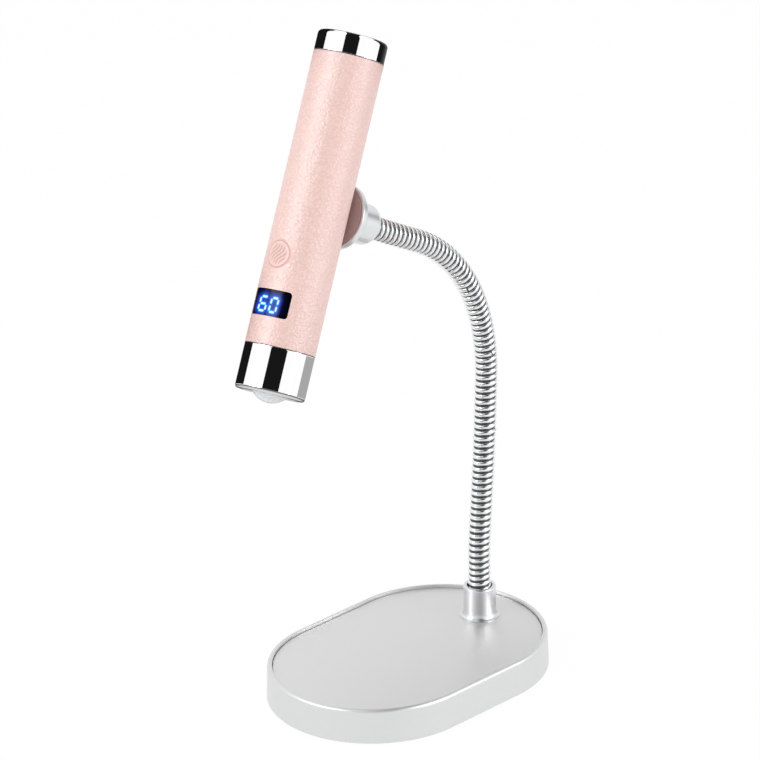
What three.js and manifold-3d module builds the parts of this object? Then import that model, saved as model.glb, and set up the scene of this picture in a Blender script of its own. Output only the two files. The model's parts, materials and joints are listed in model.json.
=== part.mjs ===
// Rechargeable pen lamp for gel nails, held by a magnet on a gooseneck desk stand.
// Millimetres and degrees, +Z up. The origin is the centre of the base's underside, on the floor.
import * as THREE from "three";
import { mergeVertices } from "three/addons/utils/BufferGeometryUtils.js";
import Module from "manifold-3d";

const wasm = await Module();
wasm.setup();

// Clearances that several pieces share
const fits = {
  seat: 0.05, // flat faces that lie on each other
  clear: 0.3, // round a piece that drops into, turns in or slides in another
  seam: 0.1, // the hairline between the leather sleeve and the chrome ends
  overrun: 1, // how far a cutting tool runs past the face that it cuts
};

// How finely round shapes are faceted
const facets = { baseSteps: 12, bodySteps: 36, smallSteps: 24, fineSteps: 12, edgeSteps: 3 };

// Desk stand
const base = {
  halfWidth: 35,
  straight: 31, // between the centres of the two round ends
  wallHeight: 11.9,
  footSpread: 0.4, // how much wider the wall is at its foot than at its rim
  rimWidth: 1.6,
  rimRecess: 1, // how far the top plate lies below the rim
  edgeRadius: 1.2,
  wall: 2, // round the hollow under the deck, at rim width
  deck: 1.8,
};
const footPad = { thickness: 1.2, proud: 0.6, inset: 1 };
const cover = { thickness: 1.6, fit: 0.25 };
const plate = { thickness: 1.2, fit: 0.2 };
const ballast = { thickness: 5.2, fit: 1.2 };
const coverScrew = {
  shankRadius: 1.2,
  headRadius: 2.5,
  headHeight: 1,
  length: 6,
  bossRadius: 3.2,
  inset: 9.4, // from the inner wall to its axis
  angle: 58, // on the round end, from its tip
};

// Neck socket on the base
const socket = {
  fromEnd: 16.65, // from the tip of the base to its axis
  height: 11,
  collarRadius: 5.4,
  footRadius: 6.6,
  footThickness: 0.3,
  flareHeight: 2.3, // of the concave sweep from the foot to the collar
  edgeRadius: 0.5,
  studRadius: 3,
};
const nut = { radius: 5.6, height: 2.6, sides: 6 };
const washer = { radius: 5.8, thickness: 1 };

// Gooseneck: a helical wire round a bendable core
const neck = {
  radius: 3.85,
  wire: 1.55, // thickness of the wound wire
  pitch: 2.15,
  coreRadius: 1.6,
  inFoot: 6.5, // length inside the base socket
  coreGap: 1, // between two core lengths, where the neck bends
  wireGap: 0.5, // between the cut ends of two coil lengths, along the wire
};
const coilSteps = 8;
const coilSides = 5;
const coreSides = 10;
const coreStep = 6;
const bendCount = 6;
const neckPath = { foot: 7.6, lean: 14, stem: 53, shoulder: 26, crown: 42, tip: 23.9 };
const neckRuns = [
  { length: neckPath.foot, turn: 0 },
  { length: neckPath.lean, turn: -5.5 },
  { length: neckPath.stem, turn: 3 },
  { length: neckPath.shoulder, turn: 22.5 },
  { length: neckPath.crown, turn: 42.8 },
  { length: neckPath.tip, turn: -2 },
];

// Magnet cup on the end of the gooseneck, measured along its own axis from the collar's back end
const cup = {
  collarRadius: 6.55,
  collarLength: 11.7,
  backEdge: 2.6,
  flangeBack: 9.5,
  flangeRadius: 10.6,
  flangeChamfer: 1.5,
  length: 15.3,
  lip: 0.8,
  edge: 0.3,
  web: 1.9, // between the neck's bore and the screw's seat
};
const ferrule = { radius: 3.7, length: 3.8, gap: 0.7 }; // gap: to the bore's end
const cupScrew = { shankRadius: 1.2, headRadius: 2.5, headHeight: 1.2, length: 5.8 };
const magnet = { thickness: 1.5 };
const pad = { thickness: 0.8, proud: 0.15 };

// Pen lamp, in its own frame: +Z to the tail cap, +X to the display side, the magnet on -X
const lamp = {
  radius: 11.15,
  sleeveTop: 47.8, // from the magnet's axis up to the sleeve's end
  sleeve: 0.8, // thickness of the leather sleeve
  tube: 0.7, // wall of the steel barrel
  turn: 7.9, // how far the lamp is turned on the magnet
};
const chrome = { radius: 11.1, spigotLength: 5, spigotWall: 1 };
const tailCap = { height: 6.7, edge: 1.3, endWall: 1.5 };
const port = { width: 8.9, thickness: 3.2, length: 7.3, shell: 0.3, backWall: 0.8 };
const tongue = { width: 6.6, thickness: 0.7, length: 4.4 };
const chargeBoard = { thickness: 0.9, halfWidth: 7.1, length: 18.5 };
const chassis = { wall: 0.75, shelf: 1.1, shelfLength: 10 };
const battery = { radius: 7.9, length: 34.5, gap: 0.6 }; // gap: to the shelf above it
const board = { thickness: 1, fit: 0.14, length: 34.9, gap: 2.7 }; // gap: to the cell above it
const windowCut = { fromEnd: 7.8, height: 8.4, halfAngle: 41.5 }; // fromEnd: above the board's lower end
const viewCut = { height: 6, halfAngle: 30 };
const windowFit = { edge: 0.2, angle: 1 };
const display = { halfWidth: 5.2, height: 7.6, fit: 0.45 };
const button = { fromEnd: 23.1, radius: 4.45, flangeRadius: 5.2, flange: 0.9, fit: 0.75 };
const tact = { half: 2.6, body: 1.4, plungerRadius: 1.2, plunger: 0.7, gap: 0.57 };

// Light head at the lower end of the pen
const head = { length: 14.3, edge: 0.9, boreRadius: 9.6, shoulder: 1.2, lip: 1, opening: 8.9 };
const heatSink = { thickness: 3.2 };
const ledBoard = { thickness: 1.15 };
const led = { half: 1.75, body: 0.7, domeRadius: 1.4, domeHeight: 0.5 };
const lens = { radius: 5.5, capHeight: 2.67, proud: 2.55, flangeRadius: 7.6, flange: 1, hole: 5.8 };
const bezel = { thickness: 1.2, dish: 0.5 };
const reflector = { throat: 2.9, mouth: 7 };

const rad = THREE.MathUtils.degToRad;
const group = new THREE.Group();

// Finishes
const finish = (color, roughness, metalness) =>
  new THREE.MeshStandardMaterial({ color, roughness, metalness });
const finishes = {
  silverPaint: finish(0xd3d4d6, 0.42, 0.55),
  satinAluminium: finish(0xd6d7d9, 0.35, 0.85),
  polishedSteel: finish(0xc9cacc, 0.18, 1),
  zincSteel: finish(0xa9abad, 0.4, 0.9),
  castIron: finish(0x55575a, 0.7, 0.6),
  blackPlastic: finish(0x222326, 0.6, 0),
  whitePlastic: finish(0xe9e9e7, 0.5, 0),
  footFoam: finish(0x2c2c2e, 0.95, 0),
  mauveRubber: finish(0xa98a86, 0.7, 0),
  magnetNickel: finish(0xb6b8ba, 0.3, 1),
  pinkLeather: finish(0xf1cfca, 0.55, 0),
  chrome: finish(0xe6e7e9, 0.06, 1),
  barrelSteel: finish(0xb9bbbd, 0.35, 1),
  smokedAcrylic: finish(0x0b0c1c, 0.08, 0),
  circuitGreen: finish(0x1f5a3c, 0.55, 0.1),
  cellWrap: finish(0x3d6aa8, 0.45, 0),
  aluminium: finish(0xc4c6c8, 0.4, 0.9),
  lensAcrylic: finish(0xe3e4e6, 0.25, 0),
  ledCeramic: finish(0xefe9b8, 0.4, 0),
};

// Solid helpers

function bare(geometry) {
  const copy = geometry.clone();
  for (const name of Object.keys(copy.attributes)) {
    if (name !== "position") copy.deleteAttribute(name);
  }
  return mergeVertices(copy, 1e-4);
}

function signedVolume(geometry) {
  const p = geometry.attributes.position;
  const i = geometry.index;
  const a = new THREE.Vector3();
  const b = new THREE.Vector3();
  const c = new THREE.Vector3();
  let sum = 0;
  for (let k = 0; k < i.count; k += 3) {
    a.fromBufferAttribute(p, i.getX(k));
    b.fromBufferAttribute(p, i.getX(k + 1));
    c.fromBufferAttribute(p, i.getX(k + 2));
    sum += a.dot(b.cross(c));
  }
  return sum;
}

// A closed mesh with shared vertices and its faces pointing out
function closed(geometry) {
  const welded = bare(geometry);
  const index = Array.from(welded.index.array);
  const kept = [];
  for (let k = 0; k < index.length; k += 3) {
    const [a, b, c] = index.slice(k, k + 3);
    if (a !== b && b !== c && a !== c) kept.push(a, b, c);
  }
  welded.setIndex(kept);
  if (signedVolume(welded) < 0) {
    for (let k = 0; k < kept.length; k += 3) [kept[k], kept[k + 1]] = [kept[k + 1], kept[k]];
    welded.setIndex(kept);
  }
  return welded;
}

function toSolid(geometry) {
  const mesh = closed(geometry);
  return new wasm.Manifold(
    new wasm.Mesh({
      numProp: 3,
      vertProperties: Float32Array.from(mesh.attributes.position.array),
      triVerts: Uint32Array.from(mesh.index.array),
    })
  );
}

function toGeometry(solid) {
  const mesh = solid.getMesh();
  const geometry = new THREE.BufferGeometry();
  geometry.setAttribute("position", new THREE.BufferAttribute(mesh.vertProperties, mesh.numProp));
  geometry.setIndex(Array.from(mesh.triVerts));
  return geometry;
}

// One body with tools joined to it and cut from it
function shaped(body, { join = [], cut = [], keep = null }) {
  let solid = toSolid(body);
  for (const piece of join) solid = solid.add(toSolid(piece));
  if (keep) solid = solid.intersect(toSolid(keep));
  for (const piece of cut) solid = solid.subtract(toSolid(piece));
  return toGeometry(solid);
}

// Turned about Z from [radius, height] points, closed on the axis or on itself
function turned(points, sides) {
  const profile = points.map(([r, z]) => new THREE.Vector2(r, z));
  if (points[0][0] > 0 || points[points.length - 1][0] > 0) profile.push(profile[0].clone());
  const geometry = new THREE.LatheGeometry(profile, sides);
  return geometry.rotateX(Math.PI / 2);
}

// Turned about X: the profile's heights run along +X
function turnedX(points, sides) {
  return turned(points, sides).rotateY(Math.PI / 2);
}

function rod(radius, bottom, top, sides) {
  const points = [
    [0, bottom],
    [radius, bottom],
    [radius, top],
    [0, top],
  ];
  return turned(points, sides);
}

function ring(inner, outer, bottom, top, sides) {
  const points = [
    [inner, bottom],
    [outer, bottom],
    [outer, top],
    [inner, top],
  ];
  return turned(points, sides);
}

const straightDown = -90; // in a profile, in degrees

// Points of a round from one direction to another, about a centre, or of an oval with its own height
function arc([centreR, centreZ], radius, from, to, steps = facets.edgeSteps, height = radius) {
  return Array.from({ length: steps + 1 }, (_, k) => {
    const angle = rad(from + ((to - from) * k) / steps);
    return [centreR + radius * Math.cos(angle), centreZ + height * Math.sin(angle)];
  });
}

function block([x0, y0, z0], [x1, y1, z1]) {
  const geometry = new THREE.BoxGeometry(x1 - x0, y1 - y0, z1 - z0);
  return geometry.translate((x0 + x1) / 2, (y0 + y1) / 2, (z0 + z1) / 2);
}

function extruded(shape, bottom, top, curveSegments) {
  const options = { depth: top - bottom, bevelEnabled: false, curveSegments };
  return new THREE.ExtrudeGeometry(shape, options).translate(0, 0, bottom);
}

// An outline with two straight sides and two round ends, its length along X
function stadium(halfWidth, straight) {
  const shape = new THREE.Shape();
  shape.absarc(straight / 2, 0, halfWidth, -Math.PI / 2, Math.PI / 2);
  shape.absarc(-straight / 2, 0, halfWidth, Math.PI / 2, (3 * Math.PI) / 2);
  return shape;
}

function stadiumPlate(halfWidth, bottom, top) {
  return extruded(stadium(halfWidth, base.straight), bottom, top, facets.baseSteps);
}

// A closed [offset, height] profile carried round the base's outline
function stadiumWall(profile) {
  const columns = [];
  for (const side of [1, -1]) {
    const steps = 2 * facets.baseSteps;
    for (let k = 0; k <= steps; k += 1) {
      const angle = (side > 0 ? -Math.PI / 2 : Math.PI / 2) + (Math.PI * k) / steps;
      columns.push({ centre: (side * base.straight) / 2, angle });
    }
  }
  const positions = [];
  for (const { centre, angle } of columns) {
    for (const [r, z] of profile) {
      positions.push(centre + r * Math.cos(angle), r * Math.sin(angle), z);
    }
  }
  const count = profile.length;
  const index = [];
  columns.forEach((_, c) => {
    const next = (c + 1) % columns.length;
    for (let p = 0; p < count; p += 1) {
      const q = (p + 1) % count;
      const [a, b] = [c * count + p, next * count + p];
      const [d, e] = [c * count + q, next * count + q];
      index.push(a, b, d, b, e, d);
    }
  });
  return gridGeometry(positions, index);
}

function gridGeometry(positions, index) {
  const geometry = new THREE.BufferGeometry();
  geometry.setAttribute("position", new THREE.Float32BufferAttribute(positions, 3));
  geometry.setIndex(index);
  return geometry;
}

// A tube through stations {point, u, v}, closed at both ends
function tube(stations, radius, sides) {
  const positions = [];
  for (const { point, u, v } of stations) {
    for (let k = 0; k < sides; k += 1) {
      const angle = (2 * Math.PI * k) / sides;
      const at = point
        .clone()
        .addScaledVector(u, radius * Math.cos(angle))
        .addScaledVector(v, radius * Math.sin(angle));
      positions.push(at.x, at.y, at.z);
    }
  }
  const index = [];
  for (let s = 0; s + 1 < stations.length; s += 1) {
    for (let k = 0; k < sides; k += 1) {
      const n = (k + 1) % sides;
      const [a, b] = [s * sides + k, s * sides + n];
      index.push(a, b, a + sides, b, b + sides, a + sides);
    }
  }
  const last = (stations.length - 1) * sides;
  for (let k = 1; k + 1 < sides; k += 1) {
    index.push(0, k + 1, k, last, last + k, last + k + 1);
  }
  return gridGeometry(positions, index);
}

// An annular sector about Z, centred on +X or on another direction
function sector(inner, outer, halfAngle, bottom, top, centre = 0, segments = facets.smallSteps) {
  const shape = new THREE.Shape();
  const [from, to] = [rad(centre - halfAngle), rad(centre + halfAngle)];
  shape.absarc(0, 0, outer, from, to, false);
  shape.absarc(0, 0, inner, to, from, true);
  return extruded(shape, bottom, top, segments);
}

function add(parent, name, geometry, material) {
  const mesh = new THREE.Mesh(closed(geometry), material);
  mesh.name = name;
  parent.add(mesh);
  return mesh;
}

// Stand: heights above the floor
const level = {};
level.wallFoot = footPad.proud;
level.rim = level.wallFoot + base.wallHeight;
level.plateTop = level.rim - base.rimRecess;
level.plateFoot = level.plateTop - plate.thickness;
level.deckTop = level.plateFoot - fits.seat;
level.deckFoot = level.deckTop - base.deck;
level.coverFoot = footPad.thickness + fits.seat;
level.coverTop = level.coverFoot + cover.thickness;
level.ballastTop = level.deckFoot - fits.seat;
level.ballastFoot = level.ballastTop - ballast.thickness;
level.washerTop = level.ballastTop - (ballast.thickness - nut.height - washer.thickness) / 2;
level.washerFoot = level.washerTop - washer.thickness;
level.nutTop = level.washerFoot - fits.seat;
level.nutFoot = level.nutTop - nut.height;
level.socketFoot = level.plateTop + fits.seat;
level.socketTop = level.plateTop + socket.height;
level.socketFloor = level.socketTop - neck.inFoot - fits.clear;

const innerHalf = base.halfWidth - base.wall;
const socketX = base.straight / 2 + base.halfWidth - socket.fromEnd;
const screwReach = innerHalf - coverScrew.inset;
const screwX = base.straight / 2 + screwReach * Math.cos(rad(coverScrew.angle));
const screwY = screwReach * Math.sin(rad(coverScrew.angle));
const screwPlaces = [
  [screwX, screwY],
  [screwX, -screwY],
  [-screwX, screwY],
  [-screwX, -screwY],
];
const pilotRadius = coverScrew.shankRadius + fits.clear;
const counterbore = coverScrew.headRadius + fits.clear;
const bossHole = coverScrew.bossRadius + 2 * fits.clear;
const screwHeadFoot = level.coverFoot + fits.seat;
const screwHeadTop = screwHeadFoot + coverScrew.headHeight;
const screwTip = screwHeadTop + coverScrew.length;
const studHole = socket.studRadius + fits.clear;

function placed(geometry, [x, y]) {
  return geometry.translate(x, y, 0);
}

function addStand(parent) {
  const foot = base.halfWidth + base.footSpread;
  const rimInner = base.halfWidth - base.rimWidth;
  const wall = stadiumWall([
    [innerHalf, level.wallFoot],
    [foot, level.wallFoot],
    ...arc([base.halfWidth - base.edgeRadius, level.rim - base.edgeRadius], base.edgeRadius, 0, 90),
    [rimInner, level.rim],
    [rimInner, level.deckTop],
    [innerHalf, level.deckFoot],
  ]);
  const deckReach = (rimInner + innerHalf) / 2;
  const deck = stadiumPlate(deckReach, level.deckFoot, level.deckTop);
  const bossFoot = level.coverTop + fits.seat;
  const bossTop = level.deckFoot + base.deck / 2;
  const pilotTop = Math.min(screwTip + fits.clear, level.deckFoot + base.deck / 2);
  const boss = (at) => placed(rod(coverScrew.bossRadius, bossFoot, bossTop, facets.fineSteps), at);
  const pilot = (at) => placed(rod(pilotRadius, bossFoot - fits.overrun, pilotTop, facets.fineSteps), at);
  const stud = (radius, bottom, top) =>
    placed(rod(radius, bottom - fits.overrun, top + fits.overrun, facets.smallSteps), [socketX, 0]);
  const housing = shaped(wall, {
    join: [deck, ...screwPlaces.map(boss)],
    cut: [...screwPlaces.map(pilot), stud(studHole, level.deckFoot, level.deckTop)],
  });
  add(parent, "base_housing", housing, finishes.silverPaint);

  const plateBody = stadiumPlate(rimInner - plate.fit, level.plateFoot, level.plateTop);
  const plateCut = { cut: [stud(studHole, level.plateFoot, level.plateTop)] };
  add(parent, "base_top_plate", shaped(plateBody, plateCut), finishes.satinAluminium);

  const slab = stadiumPlate(innerHalf - ballast.fit, level.ballastFoot, level.ballastTop);
  const bossWay = (at) =>
    placed(rod(bossHole, level.ballastFoot - fits.overrun, level.ballastTop + fits.overrun, facets.fineSteps), at);
  const pocketRadius = Math.max(nut.radius, washer.radius) + fits.clear;
  const pocketTop = level.washerTop + fits.seat;
  const pocket = placed(rod(pocketRadius, level.ballastFoot - fits.overrun, pocketTop, facets.smallSteps), [socketX, 0]);
  const slabCut = {
    cut: [...screwPlaces.map(bossWay), pocket, stud(studHole, level.ballastFoot, level.ballastTop)],
  };
  add(parent, "base_weight", shaped(slab, slabCut), finishes.castIron);

  const lid = stadiumPlate(innerHalf - cover.fit, level.coverFoot, level.coverTop);
  const headTop = screwHeadTop + fits.seat;
  const lidCut = {
    cut: screwPlaces.flatMap((at) => [
      placed(rod(counterbore, level.coverFoot - fits.overrun, headTop, facets.fineSteps), at),
      placed(rod(pilotRadius, level.coverFoot - fits.overrun, level.coverTop + fits.overrun, facets.fineSteps), at),
    ]),
  };
  add(parent, "base_bottom_cover", shaped(lid, lidCut), finishes.blackPlastic);

  const sheet = stadiumPlate(innerHalf - cover.fit - footPad.inset, 0, footPad.thickness);
  add(parent, "base_foot_pad", sheet, finishes.footFoam);

  screwPlaces.forEach((at, k) => {
    const screw = turned(
      [
        [0, screwHeadFoot],
        [coverScrew.headRadius, screwHeadFoot],
        [coverScrew.headRadius, screwHeadTop],
        [coverScrew.shankRadius, screwHeadTop],
        [coverScrew.shankRadius, screwTip],
        [0, screwTip],
      ],
      facets.fineSteps
    );
    add(parent, `cover_screw_${k + 1}`, placed(screw, at), finishes.zincSteel);
  });

  const studBore = neck.coreRadius + fits.clear;
  const socketBore = neck.radius + fits.clear;
  const flareTop = level.socketFoot + socket.footThickness + socket.flareHeight;
  const flare = socket.footRadius - socket.collarRadius;
  const socketProfile = [
    [studBore, level.nutFoot],
    [socket.studRadius, level.nutFoot],
    [socket.studRadius, level.socketFoot],
    [socket.footRadius, level.socketFoot],
    [socket.footRadius, level.socketFoot + socket.footThickness],
    ...arc([socket.footRadius, flareTop], flare, 270, 180, facets.edgeSteps, socket.flareHeight),
    ...arc([socket.collarRadius - socket.edgeRadius, level.socketTop - socket.edgeRadius], socket.edgeRadius, 0, 90),
    [socketBore, level.socketTop],
    [socketBore, level.socketFloor],
    [studBore, level.socketFloor],
  ];
  const socketBody = placed(turned(socketProfile, facets.smallSteps), [socketX, 0]);
  add(parent, "neck_socket", socketBody, finishes.satinAluminium);

  const washerBody = ring(studHole, washer.radius, level.washerFoot, level.washerTop, facets.smallSteps);
  add(parent, "socket_washer", placed(washerBody, [socketX, 0]), finishes.zincSteel);
  const nutBody = shaped(rod(nut.radius, level.nutFoot, level.nutTop, nut.sides), {
    cut: [rod(studHole, level.nutFoot - fits.overrun, level.nutTop + fits.overrun, facets.smallSteps)],
  });
  add(parent, "socket_nut", placed(nutBody, [socketX, 0]), finishes.zincSteel);
}

// The neck's centre line, in the plane y = 0: straight runs and arcs, extended straight at its ends
const neckLength = neckRuns.reduce((sum, run) => sum + run.length, 0);

function neckAt(s) {
  let [x, z, angle, left] = [socketX, level.socketTop, Math.PI / 2, Math.min(Math.max(s, 0), neckLength)];
  for (const { length, turn } of neckRuns) {
    const part = Math.min(left, length);
    const bend = rad(turn) / length;
    const next = angle + bend * part;
    x += bend === 0 ? part * Math.cos(angle) : (Math.sin(next) - Math.sin(angle)) / bend;
    z += bend === 0 ? part * Math.sin(angle) : (Math.cos(angle) - Math.cos(next)) / bend;
    angle = next;
    left -= part;
    if (left <= 0) break;
  }
  const past = s < 0 ? s : Math.max(s - neckLength, 0);
  const tangent = new THREE.Vector3(Math.cos(angle), 0, Math.sin(angle));
  const point = new THREE.Vector3(x, 0, z).addScaledVector(tangent, past);
  return { point, tangent, side: new THREE.Vector3(Math.sin(angle), 0, -Math.cos(angle)), angle };
}

const bendSpan = neckLength / bendCount;
const bendPlaces = Array.from({ length: bendCount }, (_, k) => (k + 0.5) * bendSpan);
const across = new THREE.Vector3(0, 1, 0);

// One length of core wire between two places along the neck
function coreGeometry(from, to) {
  const count = Math.max(1, Math.ceil((to - from) / coreStep));
  const stations = Array.from({ length: count + 1 }, (_, k) => {
    const { point, side } = neckAt(from + ((to - from) * k) / count);
    return { point, u: side, v: across };
  });
  return tube(stations, neck.coreRadius, coreSides);
}

// One length of the wound wire: eight steps to a turn, in step with the whole winding
const coilCentre = neck.radius - neck.wire / 2;

function coilPoint(s) {
  const { point, tangent, side } = neckAt(s);
  const phase = (2 * Math.PI * s) / neck.pitch;
  const outward = side.clone().multiplyScalar(Math.cos(phase)).addScaledVector(across, Math.sin(phase));
  const around = across.clone().multiplyScalar(Math.cos(phase)).addScaledVector(side, -Math.sin(phase));
  const lead = neck.pitch / (2 * Math.PI * coilCentre);
  const along = around.addScaledVector(tangent, lead).normalize();
  const centre = point.clone().addScaledVector(outward, coilCentre);
  return { point: centre, u: outward, v: along.cross(outward) };
}

function coilStations(from, to) {
  const step = neck.pitch / coilSteps;
  const first = Math.ceil(from / step);
  const last = Math.floor(to / step);
  const places = [from];
  for (let k = first; k <= last; k += 1) {
    const s = k * step;
    if (s - places[places.length - 1] > step / 2 && to - s > step / 2) places.push(s);
  }
  places.push(to);
  return places.map(coilPoint);
}

// The least distance between turns, on the wire's own points
function leastGap(stations) {
  const surface = stations.map(({ point, u, v }) =>
    Array.from({ length: coilSides }, (_, k) => {
      const angle = (2 * Math.PI * k) / coilSides;
      const radius = neck.wire / 2;
      return point
        .clone()
        .addScaledVector(u, radius * Math.cos(angle))
        .addScaledVector(v, radius * Math.sin(angle));
    })
  );
  let least = Infinity;
  for (let a = 0; a < surface.length; a += 1) {
    const end = Math.min(surface.length, a + 2 * coilSteps);
    for (let b = a + coilSteps / 2; b < end; b += 1) {
      for (const p of surface[a]) {
        for (const q of surface[b]) least = Math.min(least, p.distanceTo(q));
      }
    }
  }
  return least;
}

function addNeck(parent) {
  const stops = [-neck.inFoot, ...bendPlaces, neckLength + neckInHead];
  for (let k = 0; k + 1 < stops.length; k += 1) {
    const from = stops[k] + (k > 0 ? neck.coreGap / 2 : 0);
    const to = stops[k + 1] - (k + 2 < stops.length ? neck.coreGap / 2 : 0);
    add(parent, `gooseneck_core_${k + 1}`, coreGeometry(from, to), finishes.zincSteel);
  }
  const cut = (neck.pitch * neck.wireGap) / (2 * Math.PI * coilCentre);
  let least = Infinity;
  for (let k = 0; k < bendCount; k += 1) {
    const from = k === 0 ? neck.wire / 2 - neck.inFoot : k * bendSpan + cut / 2;
    const to = k + 1 === bendCount ? neckLength + neckInHead - neck.wire / 2 : (k + 1) * bendSpan - cut / 2;
    const stations = coilStations(from, to);
    least = Math.min(least, leastGap(stations));
    const wire = tube(stations, neck.wire / 2, coilSides);
    add(parent, `gooseneck_coil_${k + 1}`, wire, finishes.polishedSteel);
  }
  console.log(`least gap between turns of the gooseneck wire: ${least.toFixed(3)} mm`);
}

// Magnet cup, along +X from the collar's back end
const cupPocket = cup.flangeRadius - cup.lip;
const padFront = cup.length + pad.proud;
const padBack = padFront - pad.thickness;
const magnetFront = padBack - fits.seat;
const magnetBack = magnetFront - magnet.thickness;
const pocketFloor = magnetBack - fits.clear;
const cupScrewTop = pocketFloor - fits.seat;
const cupScrewSeat = cupScrewTop - cupScrew.headHeight;
const cupScrewTip = cupScrewSeat - cupScrew.length;
const screwWay = cupScrew.shankRadius + fits.clear;
const seatFace = cupScrewSeat - fits.seat;
const boreDepth = seatFace - cup.web;
const ferruleFront = boreDepth - ferrule.gap;
const ferruleBack = ferruleFront - ferrule.length;
const neckInHead = ferruleBack - fits.clear;

function addMagnetCup(parent) {
  const bore = neck.radius + fits.clear;
  const headWay = cupScrew.headRadius + fits.clear;
  const profile = [
    [screwWay, boreDepth],
    [bore, boreDepth],
    [bore, 0],
    ...arc([cup.collarRadius - cup.backEdge, cup.backEdge], cup.backEdge, 270, 360),
    [cup.collarRadius, cup.collarLength],
    [cup.flangeBack, cup.collarLength],
    [cup.flangeRadius, cup.collarLength + cup.flangeChamfer],
    [cup.flangeRadius, cup.length - cup.edge],
    [cup.flangeRadius - cup.edge, cup.length],
    [cupPocket, cup.length],
    [cupPocket, pocketFloor],
    [headWay, pocketFloor],
    [headWay, seatFace],
    [screwWay, seatFace],
  ];
  add(parent, "magnet_cup", turnedX(profile, facets.bodySteps), finishes.satinAluminium);

  const plug = ring(screwWay, ferrule.radius, ferruleBack, ferruleFront, facets.smallSteps);
  add(parent, "neck_end_ferrule", plug.rotateY(Math.PI / 2), finishes.zincSteel);

  const screw = turnedX(
    [
      [0, cupScrewTip],
      [cupScrew.shankRadius, cupScrewTip],
      [cupScrew.shankRadius, cupScrewSeat],
      [cupScrew.headRadius, cupScrewSeat],
      [cupScrew.headRadius, cupScrewTop],
      [0, cupScrewTop],
    ],
    facets.fineSteps
  );
  add(parent, "cup_screw", screw, finishes.zincSteel);

  const discRadius = cupPocket - fits.clear;
  const disc = rod(discRadius, magnetBack, magnetFront, facets.bodySteps).rotateY(Math.PI / 2);
  add(parent, "magnet_disc", disc, finishes.magnetNickel);
  const facing = rod(discRadius, padBack, padFront, facets.bodySteps).rotateY(Math.PI / 2);
  add(parent, "magnet_pad", facing, finishes.mauveRubber);
}

// Pen lamp: radii and heights worked out from the sleeve
const sleeveInner = lamp.radius - lamp.sleeve;
const tubeOuter = sleeveInner - fits.clear;
const tubeInner = tubeOuter - lamp.tube;
const spigotOuter = tubeInner - fits.clear;
const spigotInner = spigotOuter - chrome.spigotWall;
const chromeTopFoot = lamp.sleeveTop + fits.seam;
const tailEnd = lamp.sleeveTop + tailCap.height;

// Heights down the pen: tail spigot, shelf, cell, main board, head spigot, head
const chassisTop = chromeTopFoot - chrome.spigotLength - fits.clear;
const shelfFoot = chassisTop - chassis.shelfLength;
const cellTop = shelfFoot - battery.gap;
const cellFoot = cellTop - battery.length;
const chassisFoot = cellFoot - board.gap - board.length;
const headTop = chassisFoot - fits.clear - chrome.spigotLength;
const sleeveFoot = headTop + fits.seam;
const headEnd = sleeveFoot - head.length;
const windowZ = chassisFoot + windowCut.fromEnd;
const buttonZ = chassisFoot + button.fromEnd;
const chassisOuter = tubeInner - fits.clear;
const chassisInner = chassisOuter - chassis.wall;
// Depths from the barrel's front wall in: button flange, switch, main board, chassis edge
const flangeFront = Math.sqrt(tubeInner ** 2 - button.flangeRadius ** 2) - button.fit;
const flangeBack = flangeFront - button.flange;
const displayFront = Math.sqrt(tubeInner ** 2 - display.halfWidth ** 2) - display.fit;
const plungerFront = flangeBack - tact.gap;
const tactFront = plungerFront - tact.plunger;
const partBack = tactFront - tact.body;
const boardFront = partBack - fits.seat;
const boardBack = boardFront - board.thickness;
const boardHalf = Math.sqrt(chassisOuter ** 2 - boardFront ** 2) - board.fit;
const chassisEdge = boardBack - fits.seat;
const portEnd = tailEnd - tailCap.endWall / 2;
const portFoot = portEnd - port.length;
const chargeTop = -port.thickness / 2 - fits.seat;
const chargeFoot = chargeTop - chargeBoard.thickness;
const chargeEnd = tailEnd - tailCap.endWall - fits.clear;
const shelfTop = chargeFoot - fits.seat;

// A cylinder that lies along X, from one x to another, at a height on the pen
function buttonRod(radius, from, to, z, sides = facets.smallSteps) {
  return rod(radius, from, to, sides).rotateY(Math.PI / 2).translate(0, 0, z);
}

function addBarrel(parent) {
  const reach = lamp.radius + fits.overrun;
  const holeRadius = button.radius + fits.clear;
  const hole = () => buttonRod(holeRadius, 0, reach, buttonZ);
  const cutInner = tubeInner - fits.overrun;
  const opening = ({ height, halfAngle }) =>
    sector(cutInner, reach, halfAngle, windowZ - height / 2, windowZ + height / 2);

  const sleeve = ring(sleeveInner, lamp.radius, sleeveFoot, lamp.sleeveTop, facets.bodySteps);
  const sleeveCut = { cut: [opening(windowCut), hole()] };
  add(parent, "grip_sleeve", shaped(sleeve, sleeveCut), finishes.pinkLeather);

  const barrel = ring(tubeInner, tubeOuter, sleeveFoot, lamp.sleeveTop, facets.bodySteps);
  const barrelCut = { cut: [opening(viewCut), hole()] };
  add(parent, "barrel_tube", shaped(barrel, barrelCut), finishes.barrelSteel);

  const paneHalf = windowCut.height / 2 - windowFit.edge;
  const pane = sector(
    sleeveInner,
    lamp.radius - windowFit.edge / 2,
    windowCut.halfAngle - windowFit.angle,
    windowZ - paneHalf,
    windowZ + paneHalf
  );
  add(parent, "display_window", pane, finishes.smokedAcrylic);

  const cap = shaped(buttonRod(button.radius, flangeFront - fits.seat, reach, buttonZ), {
    join: [buttonRod(button.flangeRadius, flangeBack, flangeFront, buttonZ)],
    keep: rod(lamp.radius, sleeveFoot, lamp.sleeveTop, 2 * facets.bodySteps),
  });
  add(parent, "power_button", cap, finishes.pinkLeather);
}

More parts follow.
